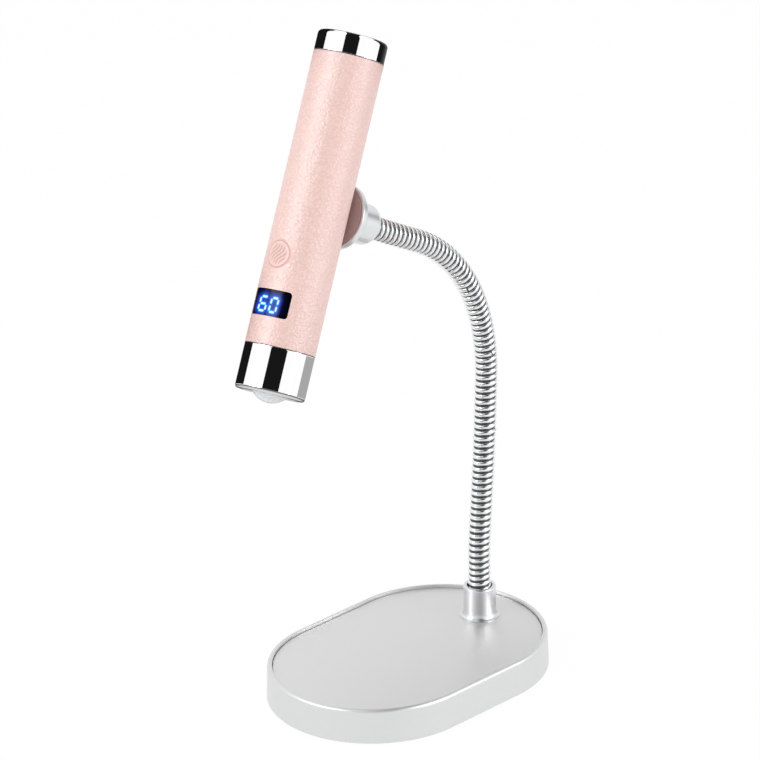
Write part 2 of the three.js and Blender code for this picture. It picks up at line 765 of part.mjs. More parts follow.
function addTailCap(parent) {
  const shell = [
    [0, tailEnd],
    [0, tailEnd - tailCap.endWall],
    [spigotInner, tailEnd - tailCap.endWall],
    [spigotInner, chromeTopFoot - chrome.spigotLength],
    [spigotOuter, chromeTopFoot - chrome.spigotLength],
    [spigotOuter, chromeTopFoot],
    [chrome.radius, chromeTopFoot],
    ...arc([chrome.radius - tailCap.edge, tailEnd - tailCap.edge], tailCap.edge, 0, 90),
  ];
  const bodyGeometry = turned(shell, facets.bodySteps);
  const slotHalf = port.thickness / 2 + fits.clear;
  const slotShape = stadium(slotHalf, port.width - port.thickness);
  const slot = extruded(slotShape, tailEnd - tailCap.endWall - fits.overrun, tailEnd + fits.overrun, facets.edgeSteps);
  const slotCut = { cut: [slot.rotateZ(Math.PI / 2)] };
  add(parent, "tail_cap", shaped(bodyGeometry, slotCut), finishes.chrome);

  const straight = port.width - port.thickness;
  const outerShell = extruded(stadium(port.thickness / 2, straight), portFoot, portEnd, facets.edgeSteps);
  const cavity = extruded(
    stadium(port.thickness / 2 - port.shell, straight),
    portFoot + port.backWall,
    portEnd + fits.overrun,
    facets.edgeSteps
  );
  const tongueBody = block(
    [-tongue.width / 2, -tongue.thickness / 2, portFoot + port.backWall / 2],
    [tongue.width / 2, tongue.thickness / 2, portFoot + port.backWall + tongue.length]
  );
  const receptacle = toSolid(outerShell).subtract(toSolid(cavity)).add(toSolid(tongueBody));
  add(parent, "usb_c_receptacle", toGeometry(receptacle).rotateZ(Math.PI / 2), finishes.magnetNickel);

  const half = chargeBoard.halfWidth;
  const strip = block(
    [chargeFoot, -half, chargeEnd - chargeBoard.length],
    [chargeTop, half, chargeEnd]
  );
  add(parent, "charge_board", strip, finishes.circuitGreen);
}

function addInside(parent) {
  const wide = lamp.radius + fits.overrun;
  const trough = ring(chassisInner, chassisOuter, chassisFoot, chassisTop, facets.bodySteps);
  const shelf = block([shelfTop - chassis.shelf, -wide, shelfFoot], [shelfTop, wide, chassisTop]);
  const shelfInside = shaped(shelf, { keep: rod(chassisOuter, shelfFoot, chassisTop, facets.bodySteps) });
  const open = block([chassisEdge, -wide, chassisFoot - fits.overrun], [wide, wide, chassisTop + fits.overrun]);
  const openTop = block([shelfTop, -wide, shelfFoot], [wide, wide, chassisTop + fits.overrun]);
  const cradle = shaped(trough, { join: [shelfInside], cut: [open, openTop] });
  add(parent, "inner_chassis", cradle, finishes.whitePlastic);

  const cell = rod(battery.radius, cellFoot, cellTop, facets.smallSteps);
  add(parent, "battery_cell", cell, finishes.cellWrap);

  const mainBoard = block(
    [boardBack, -boardHalf, chassisFoot],
    [boardFront, boardHalf, chassisFoot + board.length]
  );
  add(parent, "main_board", mainBoard, finishes.circuitGreen);

  const module = block(
    [partBack, -display.halfWidth, windowZ - display.height / 2],
    [displayFront, display.halfWidth, windowZ + display.height / 2]
  );
  add(parent, "display_module", module, finishes.blackPlastic);

  const housing = block(
    [partBack, -tact.half, buttonZ - tact.half],
    [tactFront, tact.half, buttonZ + tact.half]
  );
  const plunger = buttonRod(tact.plungerRadius, tactFront - fits.seat, plungerFront, buttonZ, facets.fineSteps);
  add(parent, "tact_switch", shaped(housing, { join: [plunger] }), finishes.blackPlastic);
}

// Light head: heights run down from the sleeve's lower end
const shoulderFoot = headTop - head.shoulder;
const sinkTop = shoulderFoot - fits.seat;
const sinkFoot = sinkTop - heatSink.thickness;
const ledBoardTop = sinkFoot - fits.seat;
const ledBoardFoot = ledBoardTop - ledBoard.thickness;
const ledTop = ledBoardFoot - fits.seat;
const ledFoot = ledTop - led.body;
const lipTop = headEnd + head.lip;
const bezelFoot = lipTop + fits.seat;
const bezelTop = bezelFoot + bezel.thickness;
const lensFlangeFoot = bezelTop + fits.seat;
const lensFlangeTop = lensFlangeFoot + lens.flange;
const lensTip = headEnd - lens.proud;
const stackRadius = head.boreRadius - fits.clear;

function addLightHead(parent) {
  const bore = head.boreRadius;
  const ringProfile = [
    [spigotInner, headTop + chrome.spigotLength],
    [spigotOuter, headTop + chrome.spigotLength],
    [spigotOuter, headTop],
    [chrome.radius, headTop],
    ...arc([chrome.radius - head.edge, headEnd + head.edge], head.edge, 360, 270),
    ...arc([head.opening + head.edge / 2, headEnd + head.edge / 2], head.edge / 2, 270, 180),
    [head.opening, lipTop],
    [bore, lipTop],
    [bore, shoulderFoot],
    [spigotInner, shoulderFoot],
  ];
  add(parent, "head_ring", turned(ringProfile, facets.bodySteps), finishes.chrome);

  add(parent, "heat_sink", rod(stackRadius, sinkFoot, sinkTop, facets.bodySteps), finishes.aluminium);
  add(parent, "led_board", rod(stackRadius, ledBoardFoot, ledBoardTop, facets.bodySteps), finishes.whitePlastic);

  const chip = block([-led.half, -led.half, ledFoot], [led.half, led.half, ledTop]);
  const domeFoot = ledFoot - led.domeHeight;
  const dome = turned(
    [
      [0, domeFoot],
      [led.domeRadius / 2, domeFoot],
      [led.domeRadius, ledFoot + led.body / 2],
      [0, ledFoot + led.body / 2],
    ],
    facets.fineSteps
  );
  add(parent, "uv_led", shaped(chip, { join: [dome] }), finishes.ledCeramic);

  const reflectorFoot = lensFlangeTop + fits.seat;
  const reflectorTop = ledBoardFoot - fits.seat;
  const reflectorRing = [
    [reflector.throat, reflectorTop],
    [reflector.mouth, reflectorFoot],
    [stackRadius, reflectorFoot],
    [stackRadius, reflectorTop],
  ];
  add(parent, "reflector", turned(reflectorRing, facets.bodySteps), finishes.chrome);

  const capRadius = (lens.radius ** 2 + lens.capHeight ** 2) / (2 * lens.capHeight);
  const capHalf = THREE.MathUtils.radToDeg(Math.asin(lens.radius / capRadius));
  const cap = arc([0, lensTip + capRadius], capRadius, straightDown, straightDown + capHalf, 2 * facets.edgeSteps);
  const lensProfile = [
    [0, lensTip],
    ...cap.slice(1),
    [lens.radius, lensFlangeFoot],
    [lens.flangeRadius, lensFlangeFoot],
    [lens.flangeRadius, lensFlangeTop],
    [0, lensFlangeTop],
  ];
  add(parent, "lens_dome", turned(lensProfile, facets.bodySteps), finishes.lensAcrylic);

  const bezelProfile = [
    [lens.hole, bezelTop],
    [lens.hole, bezelFoot + bezel.dish],
    [head.opening, bezelFoot],
    [stackRadius, bezelFoot],
    [stackRadius, bezelTop],
  ];
  add(parent, "lens_bezel", turned(bezelProfile, facets.bodySteps), finishes.chrome);
}

// The scene graph: stand, then the cup at the neck's end, then the lamp on the magnet
addStand(group);
addNeck(group);

const neckEnd = neckAt(neckLength);
const cupGroup = new THREE.Group();
cupGroup.rotation.order = "ZYX";
cupGroup.rotation.set(0, neckEnd.angle - Math.PI, Math.PI);
cupGroup.position.copy(neckEnd.point);
group.add(cupGroup);
addMagnetCup(cupGroup);

const lampGroup = new THREE.Group();
lampGroup.position.set(padFront + fits.clear + lamp.radius, 0, 0);
lampGroup.rotation.set(rad(lamp.turn), 0, 0);
cupGroup.add(lampGroup);
addBarrel(lampGroup);
addTailCap(lampGroup);
addInside(lampGroup);
addLightHead(lampGroup);

export default group;
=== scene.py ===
"""Pen lamp for gel nails, held by a magnet on a gooseneck desk stand.

A piece is modelled in millimetres and turned to metres when it is finished. The frame is the CAD's:
the origin is the centre of the base's underside, +Z is up, and the neck's foot stands at +X.
"""

from __future__ import annotations

import json
import logging
import math
from dataclasses import dataclass, field
from enum import Enum
from typing import Callable, Iterable, Sequence

import bmesh
import bpy
from mathutils import Matrix, Vector

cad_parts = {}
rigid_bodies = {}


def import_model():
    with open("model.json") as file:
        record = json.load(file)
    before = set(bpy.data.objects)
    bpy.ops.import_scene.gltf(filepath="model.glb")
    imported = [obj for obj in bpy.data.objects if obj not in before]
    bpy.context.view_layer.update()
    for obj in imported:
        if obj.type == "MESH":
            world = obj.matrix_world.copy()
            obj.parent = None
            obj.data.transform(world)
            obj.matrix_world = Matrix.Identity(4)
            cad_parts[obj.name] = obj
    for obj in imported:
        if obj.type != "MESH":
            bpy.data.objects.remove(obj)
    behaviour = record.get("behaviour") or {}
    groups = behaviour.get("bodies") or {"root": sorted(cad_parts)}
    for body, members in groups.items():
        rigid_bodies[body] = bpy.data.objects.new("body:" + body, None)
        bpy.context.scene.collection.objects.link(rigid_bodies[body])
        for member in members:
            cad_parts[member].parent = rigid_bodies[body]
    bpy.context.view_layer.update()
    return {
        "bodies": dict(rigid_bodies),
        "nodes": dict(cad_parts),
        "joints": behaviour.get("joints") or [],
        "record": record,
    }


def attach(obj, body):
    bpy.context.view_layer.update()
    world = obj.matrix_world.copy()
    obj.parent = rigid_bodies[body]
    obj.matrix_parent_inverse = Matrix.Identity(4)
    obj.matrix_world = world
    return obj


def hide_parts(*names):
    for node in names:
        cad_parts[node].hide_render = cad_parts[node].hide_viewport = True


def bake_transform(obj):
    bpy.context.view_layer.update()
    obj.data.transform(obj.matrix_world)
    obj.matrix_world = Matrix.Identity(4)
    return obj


LOG = logging.getLogger("nail_lamp")
MM = 0.001
Point2 = tuple[float, float]
Point3 = tuple[float, float, float]
# Radius, height and fillet of a profile's corner
Corner = tuple[float, float, float]
# Four sizes, which the comment beside each such field names
Sizes4 = tuple[float, float, float, float]
# The distances at which points are joined, slivers dropped, and a point counts as on a plane
MERGE, SLIVER, ON_PLANE = 1e-4, 1e-5, 1e-6
# A radius so small that the points on it are joined on the axis
NEAR_AXIS = 1e-5
# A cell size that leaves a plate uncut
UNCUT = 50.0
# The places of a Mix node's two colours among its inputs, and of their mix among its outputs
MIX_A, MIX_B, MIX_OUT = 6, 7, 2
# How far a slot's corners stay from meeting, which would leave an edge of no length
SLOT_FLAT = 1e-3
# Segments of a right angle's fillet, plain and where it shows
PLAIN, FINE = 6, 8


# Colours and nodes


def linear(hex_colour: str) -> tuple[float, float, float, float]:
    """Turn an sRGB hex colour to linear light.

    Args:
        hex_colour: six hex digits, such as "f1cfca".

    Returns:
        Red, green, blue and an alpha of 1.
    """
    channels = [int(hex_colour[k : k + 2], 16) / 255 for k in (0, 2, 4)]
    red, green, blue = (c / 12.92 if c <= 0.04045 else ((c + 0.055) / 1.055) ** 2.4 for c in channels)
    return red, green, blue, 1.0


def add_node(
    tree: bpy.types.NodeTree,
    kind: str,
    settings: dict[str | int, object] | None = None,
    links: dict[str | int, bpy.types.NodeSocket] | None = None,
) -> bpy.types.Node:
    """Add a node with its settings and links.

    Args:
        tree: the node tree that gets it.
        kind: the node's type name without its "ShaderNode" start.
        settings: values for its own properties, or for its inputs by name or place.
        links: sockets to link into its inputs, by name or place.

    Returns:
        The node.
    """
    node = tree.nodes.new(f"ShaderNode{kind}")
    for key, value in (settings or {}).items():
        if isinstance(key, str) and hasattr(node, key):
            setattr(node, key, value)
        else:
            node.inputs[key].default_value = value
    for key, source in (links or {}).items():
        tree.links.new(source, node.inputs[key])
    return node


def shaded_material(
    name: str, values: dict[str, object]
) -> tuple[bpy.types.Material, bpy.types.NodeTree, bpy.types.Node]:
    """Make a material, and return it with its tree and its shader.

    Args:
        name: the material's name.
        values: the values of the shader's inputs, by name.

    Returns:
        The material, its node tree and its shader node.
    """
    material = bpy.data.materials.new(name)
    material.use_nodes = True
    shader = material.node_tree.nodes["Principled BSDF"]
    for key, value in values.items():
        shader.inputs[key].default_value = value
    return material, material.node_tree, shader


def studio_material(name: str) -> tuple[bpy.types.Material, bpy.types.NodeTree, bpy.types.NodeSocket]:
    """Make a material without a shader.

    Args:
        name: the material's name.

    Returns:
        The material, its node tree and its surface input.
    """
    material, tree, shader = shaded_material(name, {})
    tree.nodes.remove(shader)
    return material, tree, tree.nodes["Material Output"].inputs["Surface"]


class Surface(Enum):
    """How a finish's surface was made, which sets its pattern."""

    BLASTED = "an even, random grain"
    DRAWN = "fine lines along one direction"
    PEBBLED = "cells of leather grain with creases between them"
    FOAMED = "small round pores"


@dataclass(frozen=True)
class Pebbles:
    """How leather grain is drawn. Drift and clouds are counted in grains, the rest in shares."""

    drift_rate: float = 0.45
    drift: float = 1.6
    softness: float = 0.4
    # The distances from a cell's middle that count as its crease and its crown
    crease: float = 0.66
    crown: float = 0.1
    cell_share: float = 0.72
    cloud: float = 5.0
    cloud_share: float = 0.28


PEBBLES = Pebbles()


@dataclass(frozen=True)
class Finish:
    """A finish: its colours, its response to light and the pattern on it."""

    name: str
    slot: str
    colour: str
    hollow: str
    roughness: float
    surface: Surface = Surface.BLASTED
    metallic: float = 0.0
    ior: float = 1.5
    coat: float = 0.0
    transmission: float = 0.0
    specular: float = 0.5
    grain_mm: float = 0.4
    relief_mm: float = 0.0
    roughness_swing: float = 0.02
    lines_along: Point3 = (1.0, 1.0, 1.0)
    # The colour that the pressed lines take by their depth: painted shade for the shadow in their relief,
    # partly the real darkening of pressed leather
    pressed_shade: str = ""

    def pattern(self, tree: bpy.types.NodeTree) -> bpy.types.NodeSocket:
        """Build the pattern, from 0 in its hollows to 1 on its heights.

        Args:
            tree: the material's node tree.

        Returns:
            The pattern's value socket.
        """
        place = add_node(tree, "TexCoord").outputs["Object"]
        scale = 1 / (self.grain_mm * MM)
        if self.surface is Surface.PEBBLED:
            return self.pebbles(tree, place, scale)
        if self.surface is Surface.FOAMED:
            pores = add_node(tree, "TexVoronoi", {"Scale": scale}, {"Vector": place})
            return pores.outputs["Distance"]
        if self.surface is Surface.DRAWN:
            place = add_node(tree, "Mapping", {"Scale": self.lines_along}, {"Vector": place}).outputs[0]
        noise = add_node(tree, "TexNoise", {"Scale": scale, "Detail": 3.0}, {"Vector": place})
        return noise.outputs["Fac"]

    def pebbles(
        self, tree: bpy.types.NodeTree, place: bpy.types.NodeSocket, scale: float
    ) -> bpy.types.NodeSocket:
        """Draw leather grain: drifting cells with creases between them, under soft clouds.

        Args:
            tree: the material's node tree.
            place: the place on the object, as a vector socket.
            scale: grains in a metre.

        Returns:
            The grain's value socket.
        """
        noise = {"Scale": scale * PEBBLES.drift_rate, "Detail": 2.0}
        drift = add_node(tree, "TexNoise", noise, {"Vector": place})
        reach = (PEBBLES.drift * self.grain_mm * MM,) * 3
        move = {"operation": "MULTIPLY_ADD", 1: reach}
        moved = add_node(tree, "VectorMath", move, {0: drift.outputs["Color"], 2: place})
        drawn = add_node(tree, "Mapping", {"Scale": self.lines_along}, {"Vector": moved.outputs[0]})
        cell = {"feature": "SMOOTH_F1", "Scale": scale, "Smoothness": PEBBLES.softness}
        cells = add_node(tree, "TexVoronoi", cell, {"Vector": drawn.outputs[0]})
        rise = {"From Min": PEBBLES.crease, "From Max": PEBBLES.crown, "To Max": PEBBLES.cell_share}
        pebble = add_node(tree, "MapRange", rise, {"Value": cells.outputs["Distance"]})
        noise = {"Scale": scale / PEBBLES.cloud, "Detail": 1.0}
        cloud = add_node(tree, "TexNoise", noise, {"Vector": place})
        join = {"operation": "MULTIPLY_ADD", 1: PEBBLES.cloud_share}
        both = add_node(tree, "Math", join, {0: cloud.outputs["Fac"], 2: pebble.outputs[0]})
        return both.outputs[0]

    def material(self) -> bpy.types.Material:
        """Find the finish's material, or build it the first time it is asked for.

        Returns:
            The material.
        """
        found = bpy.data.materials.get(self.name)
        if found:
            return found
        material, tree, shader = shaded_material(self.name, {
            "Metallic": self.metallic,
            "IOR": self.ior,
            "Coat Weight": self.coat,
            "Transmission Weight": self.transmission,
            "Specular IOR Level": self.specular,
        })
        height = self.pattern(tree)
        tones = {"data_type": "RGBA", MIX_A: linear(self.hollow), MIX_B: linear(self.colour)}
        surface = add_node(tree, "Mix", tones, {"Factor": height}).outputs[MIX_OUT]
        # Darken the pressed lines by their depth: painted shade, partly the real darkening of pressed
        # leather
        if self.pressed_shade:
            depth = add_node(tree, "Attribute", {"attribute_name": "pressed_shade"}).outputs["Fac"]
            mark = {"data_type": "RGBA", MIX_B: linear(self.pressed_shade)}
            surface = add_node(tree, "Mix", mark, {"Factor": depth, MIX_A: surface}).outputs[MIX_OUT]
        tree.links.new(surface, shader.inputs["Base Color"])
        swing = {
            "To Min": self.roughness + self.roughness_swing,
            "To Max": max(self.roughness - self.roughness_swing, 0.0),
        }
        rough = add_node(tree, "MapRange", swing, {"Value": height})
        tree.links.new(rough.outputs[0], shader.inputs["Roughness"])
        if self.relief_mm:
            bump = add_node(tree, "Bump", {"Distance": self.relief_mm * MM}, {"Height": height})
            tree.links.new(bump.outputs[0], shader.inputs["Normal"])
        return material


@dataclass(frozen=True)
class LitFinish:
    """A display surface that glows by an attribute of its mesh, from dark to fully lit."""

    name: str
    slot: str
    base: str
    attribute: str
    steps: tuple[tuple[float, str], ...]
    strength: float
    roughness: float
    specular: float = 0.15

    def material(self) -> bpy.types.Material:
        """Find the finish's material, or build it the first time it is asked for.

        Returns:
            The material.
        """
        found = bpy.data.materials.get(self.name)
        if found:
            return found
        material, tree, shader = shaded_material(self.name, {
            "Base Color": linear(self.base),
            "Roughness": self.roughness,
            "Specular IOR Level": self.specular,
            "Emission Strength": self.strength,
        })
        lit = add_node(tree, "Attribute", {"attribute_name": self.attribute})
        ramp = add_node(tree, "ValToRGB", {}, {"Fac": lit.outputs["Fac"]})
        stops = ramp.color_ramp.elements
        while len(stops) < len(self.steps):
            stops.new(1.0)
        for stop, (place, colour) in zip(stops, self.steps):
            stop.position = place
            stop.color = linear(colour)
        tree.links.new(ramp.outputs["Color"], shader.inputs["Emission Color"])
        return material


# Satin silver lacquer over a die-cast shell: soft bands of light, a very fine sparkle
SILVER_LACQUER = Finish(
    "satin_silver_lacquer", "silver_paint", "dddede", "d5d6d6", 0.38, metallic=0.85,
    grain_mm=0.25, relief_mm=0.003,
)
# Blasted and anodised aluminium sheet: an even grey with a fine tooth; grain drawn as coarse as shows
ANODISED_PLATE = Finish(
    "blasted_anodised_aluminium", "satin_aluminium", "e2e1e1", "dcdbdb", 0.45, metallic=0.9,
    grain_mm=0.35, relief_mm=0.004,
)
# Turned aluminium with a satin coat: smooth soft highlights round it
TURNED_ALUMINIUM = Finish(
    "turned_satin_aluminium", "satin_aluminium", "e2e3e4", "dedfe0", 0.3, metallic=1.0, grain_mm=0.2,
    roughness_swing=0.01,
)
# Bright drawn stainless wire: hard, narrow highlights
BRIGHT_WIRE = Finish(
    "bright_drawn_steel_wire", "polished_steel", "f1f2f2", "e9eaeb", 0.18, metallic=1.0,
    grain_mm=0.6, roughness_swing=0.03,
)
# The three-sided wire between the turns, as drawn: its dark colour is painted shade for the shadow in the
# gaps beside the bright wire
SHADED_FILLER_WIRE = Finish(
    "filler_wire_painted_shade", "polished_steel", "595b5e", "4e5053", 0.3, metallic=1.0, grain_mm=0.6
)
# Annealed steel rod inside the winding, dull and dark
CORE_STEEL = Finish("annealed_steel_rod", "zinc_steel", "8b8c8f", "77787b", 0.4, metallic=1.0)
ZINC_STEEL = Finish(
    "zinc_plated_steel", "zinc_steel", "b4b7ba", "a3a6aa", 0.34, metallic=1.0, roughness_swing=0.06
)
CAST_IRON = Finish(
    "sand_cast_iron", "cast_iron", "5f6164", "4a4b4e", 0.68, metallic=0.7, grain_mm=0.8, relief_mm=0.05,
    roughness_swing=0.08,
)
# Chromium plate on a polished ring: a mirror
MIRROR_CHROME = Finish(
    "polished_chromium_plate", "chrome", "fefefe", "fdfdfd", 0.02, metallic=1.0, grain_mm=6.0,
    roughness_swing=0.005,
)
# The lamp's turned end face, satin under the same plate
SATIN_CHROME = Finish(
    "satin_chromium_plate", "chrome", "cfcfd1", "c5c5c8", 0.3, metallic=1.0, grain_mm=0.4,
    relief_mm=0.002,
)
NICKEL = Finish("bright_nickel_plate", "nickel", "c4c3bf", "b9b8b4", 0.2, metallic=1.0)
BARREL_STEEL = Finish(
    "brushed_barrel_steel", "barrel_steel", "bfc1c2", "acaeb0", 0.32, Surface.DRAWN, metallic=1.0,
    grain_mm=0.3, lines_along=(1.0, 1.0, 0.05),
)
# Varnished pebbled leather, as on a bag: cells a little under a millimetre wide, soft creases
PINK_LEATHER = Finish(
    "pebbled_pink_leather", "pink_leather", "ebcbc5", "dcb7b0", 0.39, Surface.PEBBLED, specular=1.0,
    grain_mm=0.85, relief_mm=0.15, roughness_swing=0.04, ior=1.6, lines_along=(1.0, 1.0, 1.15),
)
# The same hide pressed smooth where a fingertip lands; its pressed lines are darkened with painted shade,
# partly the real darkening of pressed leather
PRESSED_LEATHER = Finish(
    "pressed_pink_leather", "pink_leather", "e8c8c2", "e4c2bb", 0.44, grain_mm=0.5, relief_mm=0.006,
    ior=1.45, pressed_shade="c9a29a",
)
# Matt pink silicone on the magnet, darkened to a mauve: painted shadow of the lamp lying on it
PINK_SILICONE_IN_SHADOW = Finish(
    "matt_pink_silicone_painted_shadow", "mauve_rubber", "b09592", "a68c89", 0.62, grain_mm=0.3, relief_mm=0.004,
    ior=1.43,
)
FOOT_FOAM = Finish(
    "closed_cell_foam", "foot_foam", "37373a", "242426", 0.9, Surface.FOAMED, grain_mm=0.6,
    relief_mm=0.1,
)
BLACK_ABS = Finish(
    "moulded_black_abs", "black_plastic", "27282b", "202124", 0.5, grain_mm=0.3, relief_mm=0.01,
    ior=1.54,
)
WHITE_ABS = Finish(
    "moulded_white_abs", "white_plastic", "ebebe9", "e2e2e0", 0.45, grain_mm=0.4, relief_mm=0.008,
    ior=1.54,
)
SOLDER_MASK = Finish(
    "green_solder_mask", "circuit_board", "256a48", "1b5037", 0.4, grain_mm=1.2, relief_mm=0.02,
    coat=0.3,
)
SHRINK_FILM = Finish(
    "blue_shrink_film", "cell_wrap", "4574b3", "3a66a3", 0.3, grain_mm=2.5, relief_mm=0.05, coat=0.5
)
SINK_ALUMINIUM = Finish(
    "machined_aluminium", "heat_sink_aluminium", "cbcdcf", "bcbec1", 0.3, Surface.DRAWN, metallic=1.0,
    grain_mm=0.3, lines_along=(1.0, 0.1, 0.1),
)
LED_CERAMIC = Finish("glazed_led_ceramic", "led_ceramic", "f0ebbd", "e6e0ab", 0.35, ior=1.6)
# Frosted acrylic: bright, a little see-through, soft at the edge
FROSTED_ACRYLIC = Finish(
    "frosted_acrylic", "lens_acrylic", "e4e5e6", "dddee0", 0.24, transmission=0.06, ior=1.49,
    grain_mm=0.8,
)
GOLD_CONTACT = Finish("gold_contact", "nickel", "e0b45c", "d2a54e", 0.22, metallic=1.0)
# Smoked acrylic over the display: black gloss that the digits tint blue
SMOKED_ACRYLIC = LitFinish(
    "smoked_window_acrylic", "smoked_acrylic", "020205", "glow",
    ((0.0, "020206"), (0.2, "0c0f38"), (0.45, "20308c"), (0.7, "2550c8"), (1.0, "1f7cf5")), 1.0, 0.06,
)
DIGIT_LIGHT = LitFinish(
    "display_digit_light", "smoked_acrylic", "05060c", "core",
    ((0.0, "0090ff"), (0.4, "00baff"), (0.68, "86e6ff"), (0.86, "ffffff")), 1.0, 0.3,
)


# Mesh helpers, in millimetres


def rounded(corners: Sequence[Corner], segments: int = PLAIN) -> list[Point2]:
    """Round the corners of an open profile.

    Args:
        corners: (radius, height, fillet) of each corner; a fillet of 0 keeps it sharp.
        segments: edges in a full right angle's fillet.

    Returns:
        The profile's points as (radius, height).
    """
    points: list[Point2] = []
    for k, (r, z, fillet) in enumerate(corners):
        here = Vector((r, z))
        if not fillet or k in (0, len(corners) - 1):
            points.append((r, z))
            continue
        before = (Vector(corners[k - 1][:2]) - here).normalized()
        after = (Vector(corners[k + 1][:2]) - here).normalized()
        half = before.angle(after) / 2
        reach = fillet / math.tan(half)
        centre = here + (before + after).normalized() * (fillet / math.sin(half))
        start, end = here + before * reach - centre, here + after * reach - centre
        arc = start.angle_signed(end)
        steps = max(2, round(segments * abs(arc) / (math.pi / 2)))
        for step in range(steps + 1):
            turn = Matrix.Rotation(-arc * step / steps, 2)
            points.append(tuple(centre + turn @ start))
    return points


def lathe(profile: Sequence[Point2], steps: int = 96) -> bmesh.types.BMesh:
    """Spin a closed profile round Z.

    Args:
        profile: (radius, height) points; the last joins the first.
        steps: segments round the axis.

    Returns:
        The turned mesh.
    """
    bm = bmesh.new()
    verts = [bm.verts.new((r, 0.0, z)) for r, z in profile]
    edges = [bm.edges.new(pair) for pair in zip(verts, verts[1:] + verts[:1])]
    bmesh.ops.spin(
        bm, geom=verts + edges, cent=(0, 0, 0), axis=(0, 0, 1),
        angle=math.tau, steps=steps, use_merge=True,
    )
    bmesh.ops.remove_doubles(bm, verts=bm.verts, dist=MERGE)
    bmesh.ops.dissolve_degenerate(bm, edges=bm.edges, dist=SLIVER)
    return bm


def circle(radius: float, sides: int) -> list[Point2]:
    """The corners of a round section."""
    angles = [math.tau * k / sides for k in range(sides)]
    return [(radius * math.cos(angle), radius * math.sin(angle)) for angle in angles]


def stretch_to_oval(bm: bmesh.types.BMesh, half: float) -> None:
    """Pull a round mesh apart along X, so that its outline gets two straight sides.

    Args:
        bm: the mesh, turned round Z; its spokes are first turned half a step off the Y axis.
        half: half the length of the straight sides.
    """
    for vert in bm.verts:
        if abs(vert.co.x) > ON_PLANE:
            vert.co.x += math.copysign(half, vert.co.x)


def flat_plate(
    width: float, height: float, corner: float, thickness: float, cell: float
) -> bmesh.types.BMesh:
    """A plate in the XY plane with rounded corners, cut into cells so that it can be bent.

    Args:
        width: its size along X.
        height: its size along Y.
        corner: radius of its corners.
        thickness: from z = 0 up.
        cell: largest distance between its cuts.

    Returns:
        The plate.
    """
    bm = bmesh.new()
    bmesh.ops.create_grid(bm, x_segments=1, y_segments=1, size=0.5)
    bmesh.ops.scale(bm, vec=(width, height, 1), verts=bm.verts)
    if corner:
        bmesh.ops.bevel(
            bm, geom=bm.verts[:], offset=corner, segments=PLAIN, profile=0.5, affect="VERTICES",
            material=-1,
        )
    raised = bmesh.ops.extrude_face_region(bm, geom=bm.faces[:])["geom"]
    top = [part for part in raised if isinstance(part, bmesh.types.BMVert)]
    bmesh.ops.translate(bm, vec=(0, 0, thickness), verts=top)
    for axis, size in ((0, width), (1, height)):
        count = math.ceil(size / cell)
        for k in range(1, count):
            spot, normal = Vector(), Vector()
            spot[axis], normal[axis] = size * (k / count - 0.5), 1.0
            geom = bm.verts[:] + bm.edges[:] + bm.faces[:]
            bmesh.ops.bisect_plane(bm, geom=geom, dist=ON_PLANE, plane_co=spot, plane_no=normal)
    return bm


def wrap(bm: bmesh.types.BMesh, radius: float, height: float) -> None:
    """Bend a flat plate round Z: X becomes the arc, Y the height, and Z stands out from the radius.

    Args:
        bm: the plate, about the radius and the height.
        radius: the radius that its z = 0 gets.
        height: the height that its y = 0 gets.
    """
    for vert in bm.verts:
        arc, up, out = vert.co
        angle = arc / radius
        vert.co = ((radius + out) * math.cos(angle), (radius + out) * math.sin(angle), up + height)


def slot_prism(width: float, thickness: float, bottom: float, top: float) -> bmesh.types.BMesh:
    """A straight bar with two round sides, its width along Y and its length along Z.

    Args:
        width: its size along Y.
        thickness: its size along X.
        bottom: where it starts.
        top: where it ends.

    Returns:
        The bar.
    """
    bm = flat_plate(thickness, width, thickness / 2 - SLOT_FLAT, top - bottom, UNCUT)
    bmesh.ops.translate(bm, vec=(0, 0, bottom), verts=bm.verts)
    return bm


def joined(parts: Iterable[bmesh.types.BMesh]) -> bmesh.types.BMesh:
    """Put several meshes into one.

    Args:
        parts: the meshes, which are freed.

    Returns:
        The whole.
    """
    whole = bmesh.new()
    for part in parts:
        mesh = bpy.data.meshes.new("part")
        part.to_mesh(mesh)
        part.free()
        whole.from_mesh(mesh)
        bpy.data.meshes.remove(mesh)
    return whole


def grow(
    bm: bmesh.types.BMesh, edges: Sequence[bmesh.types.BMEdge]
) -> tuple[list[bmesh.types.BMVert], list[bmesh.types.BMEdge]]:
    """Extrude a row of edges, without moving the new ones.

    Args:
        bm: the mesh.
        edges: the row.

    Returns:
        The new row's vertices and edges.
    """
    grown = bmesh.ops.extrude_edge_only(bm, edges=edges)["geom"]
    verts = [part for part in grown if isinstance(part, bmesh.types.BMVert)]
    fresh, lines = set(verts), [part for part in grown if isinstance(part, bmesh.types.BMEdge)]
    return verts, [line for line in lines if set(line.verts) <= fresh]


def sweep(stations: Sequence[Matrix], section: Sequence[Point2]) -> bmesh.types.BMesh:
    """Carry a closed section through a row of places.

    Args:
        stations: one matrix for each place; the section lies in its XY plane.
        section: the section's points.

    Returns:
        The swept mesh, closed at both ends.
    """
    bm = bmesh.new()
    ring = [bm.verts.new(stations[0] @ Vector((x, y, 0.0))) for x, y in section]
    edges = list(bm.faces.new(ring).edges)
    for before, after in zip(stations, stations[1:]):
        verts, edges = grow(bm, edges)
        bmesh.ops.transform(bm, matrix=after @ before.inverted(), verts=verts)
    bmesh.ops.contextual_create(bm, geom=edges)
    return bm


@dataclass(frozen=True)
class Dressing:
    """What a finished piece is called, what it is made of, what carries it and what it stands for."""

    name: str
    finish: Finish | LitFinish
    body: str
    nodes: tuple[str, ...] = ()
    sharp_deg: float = 35.0


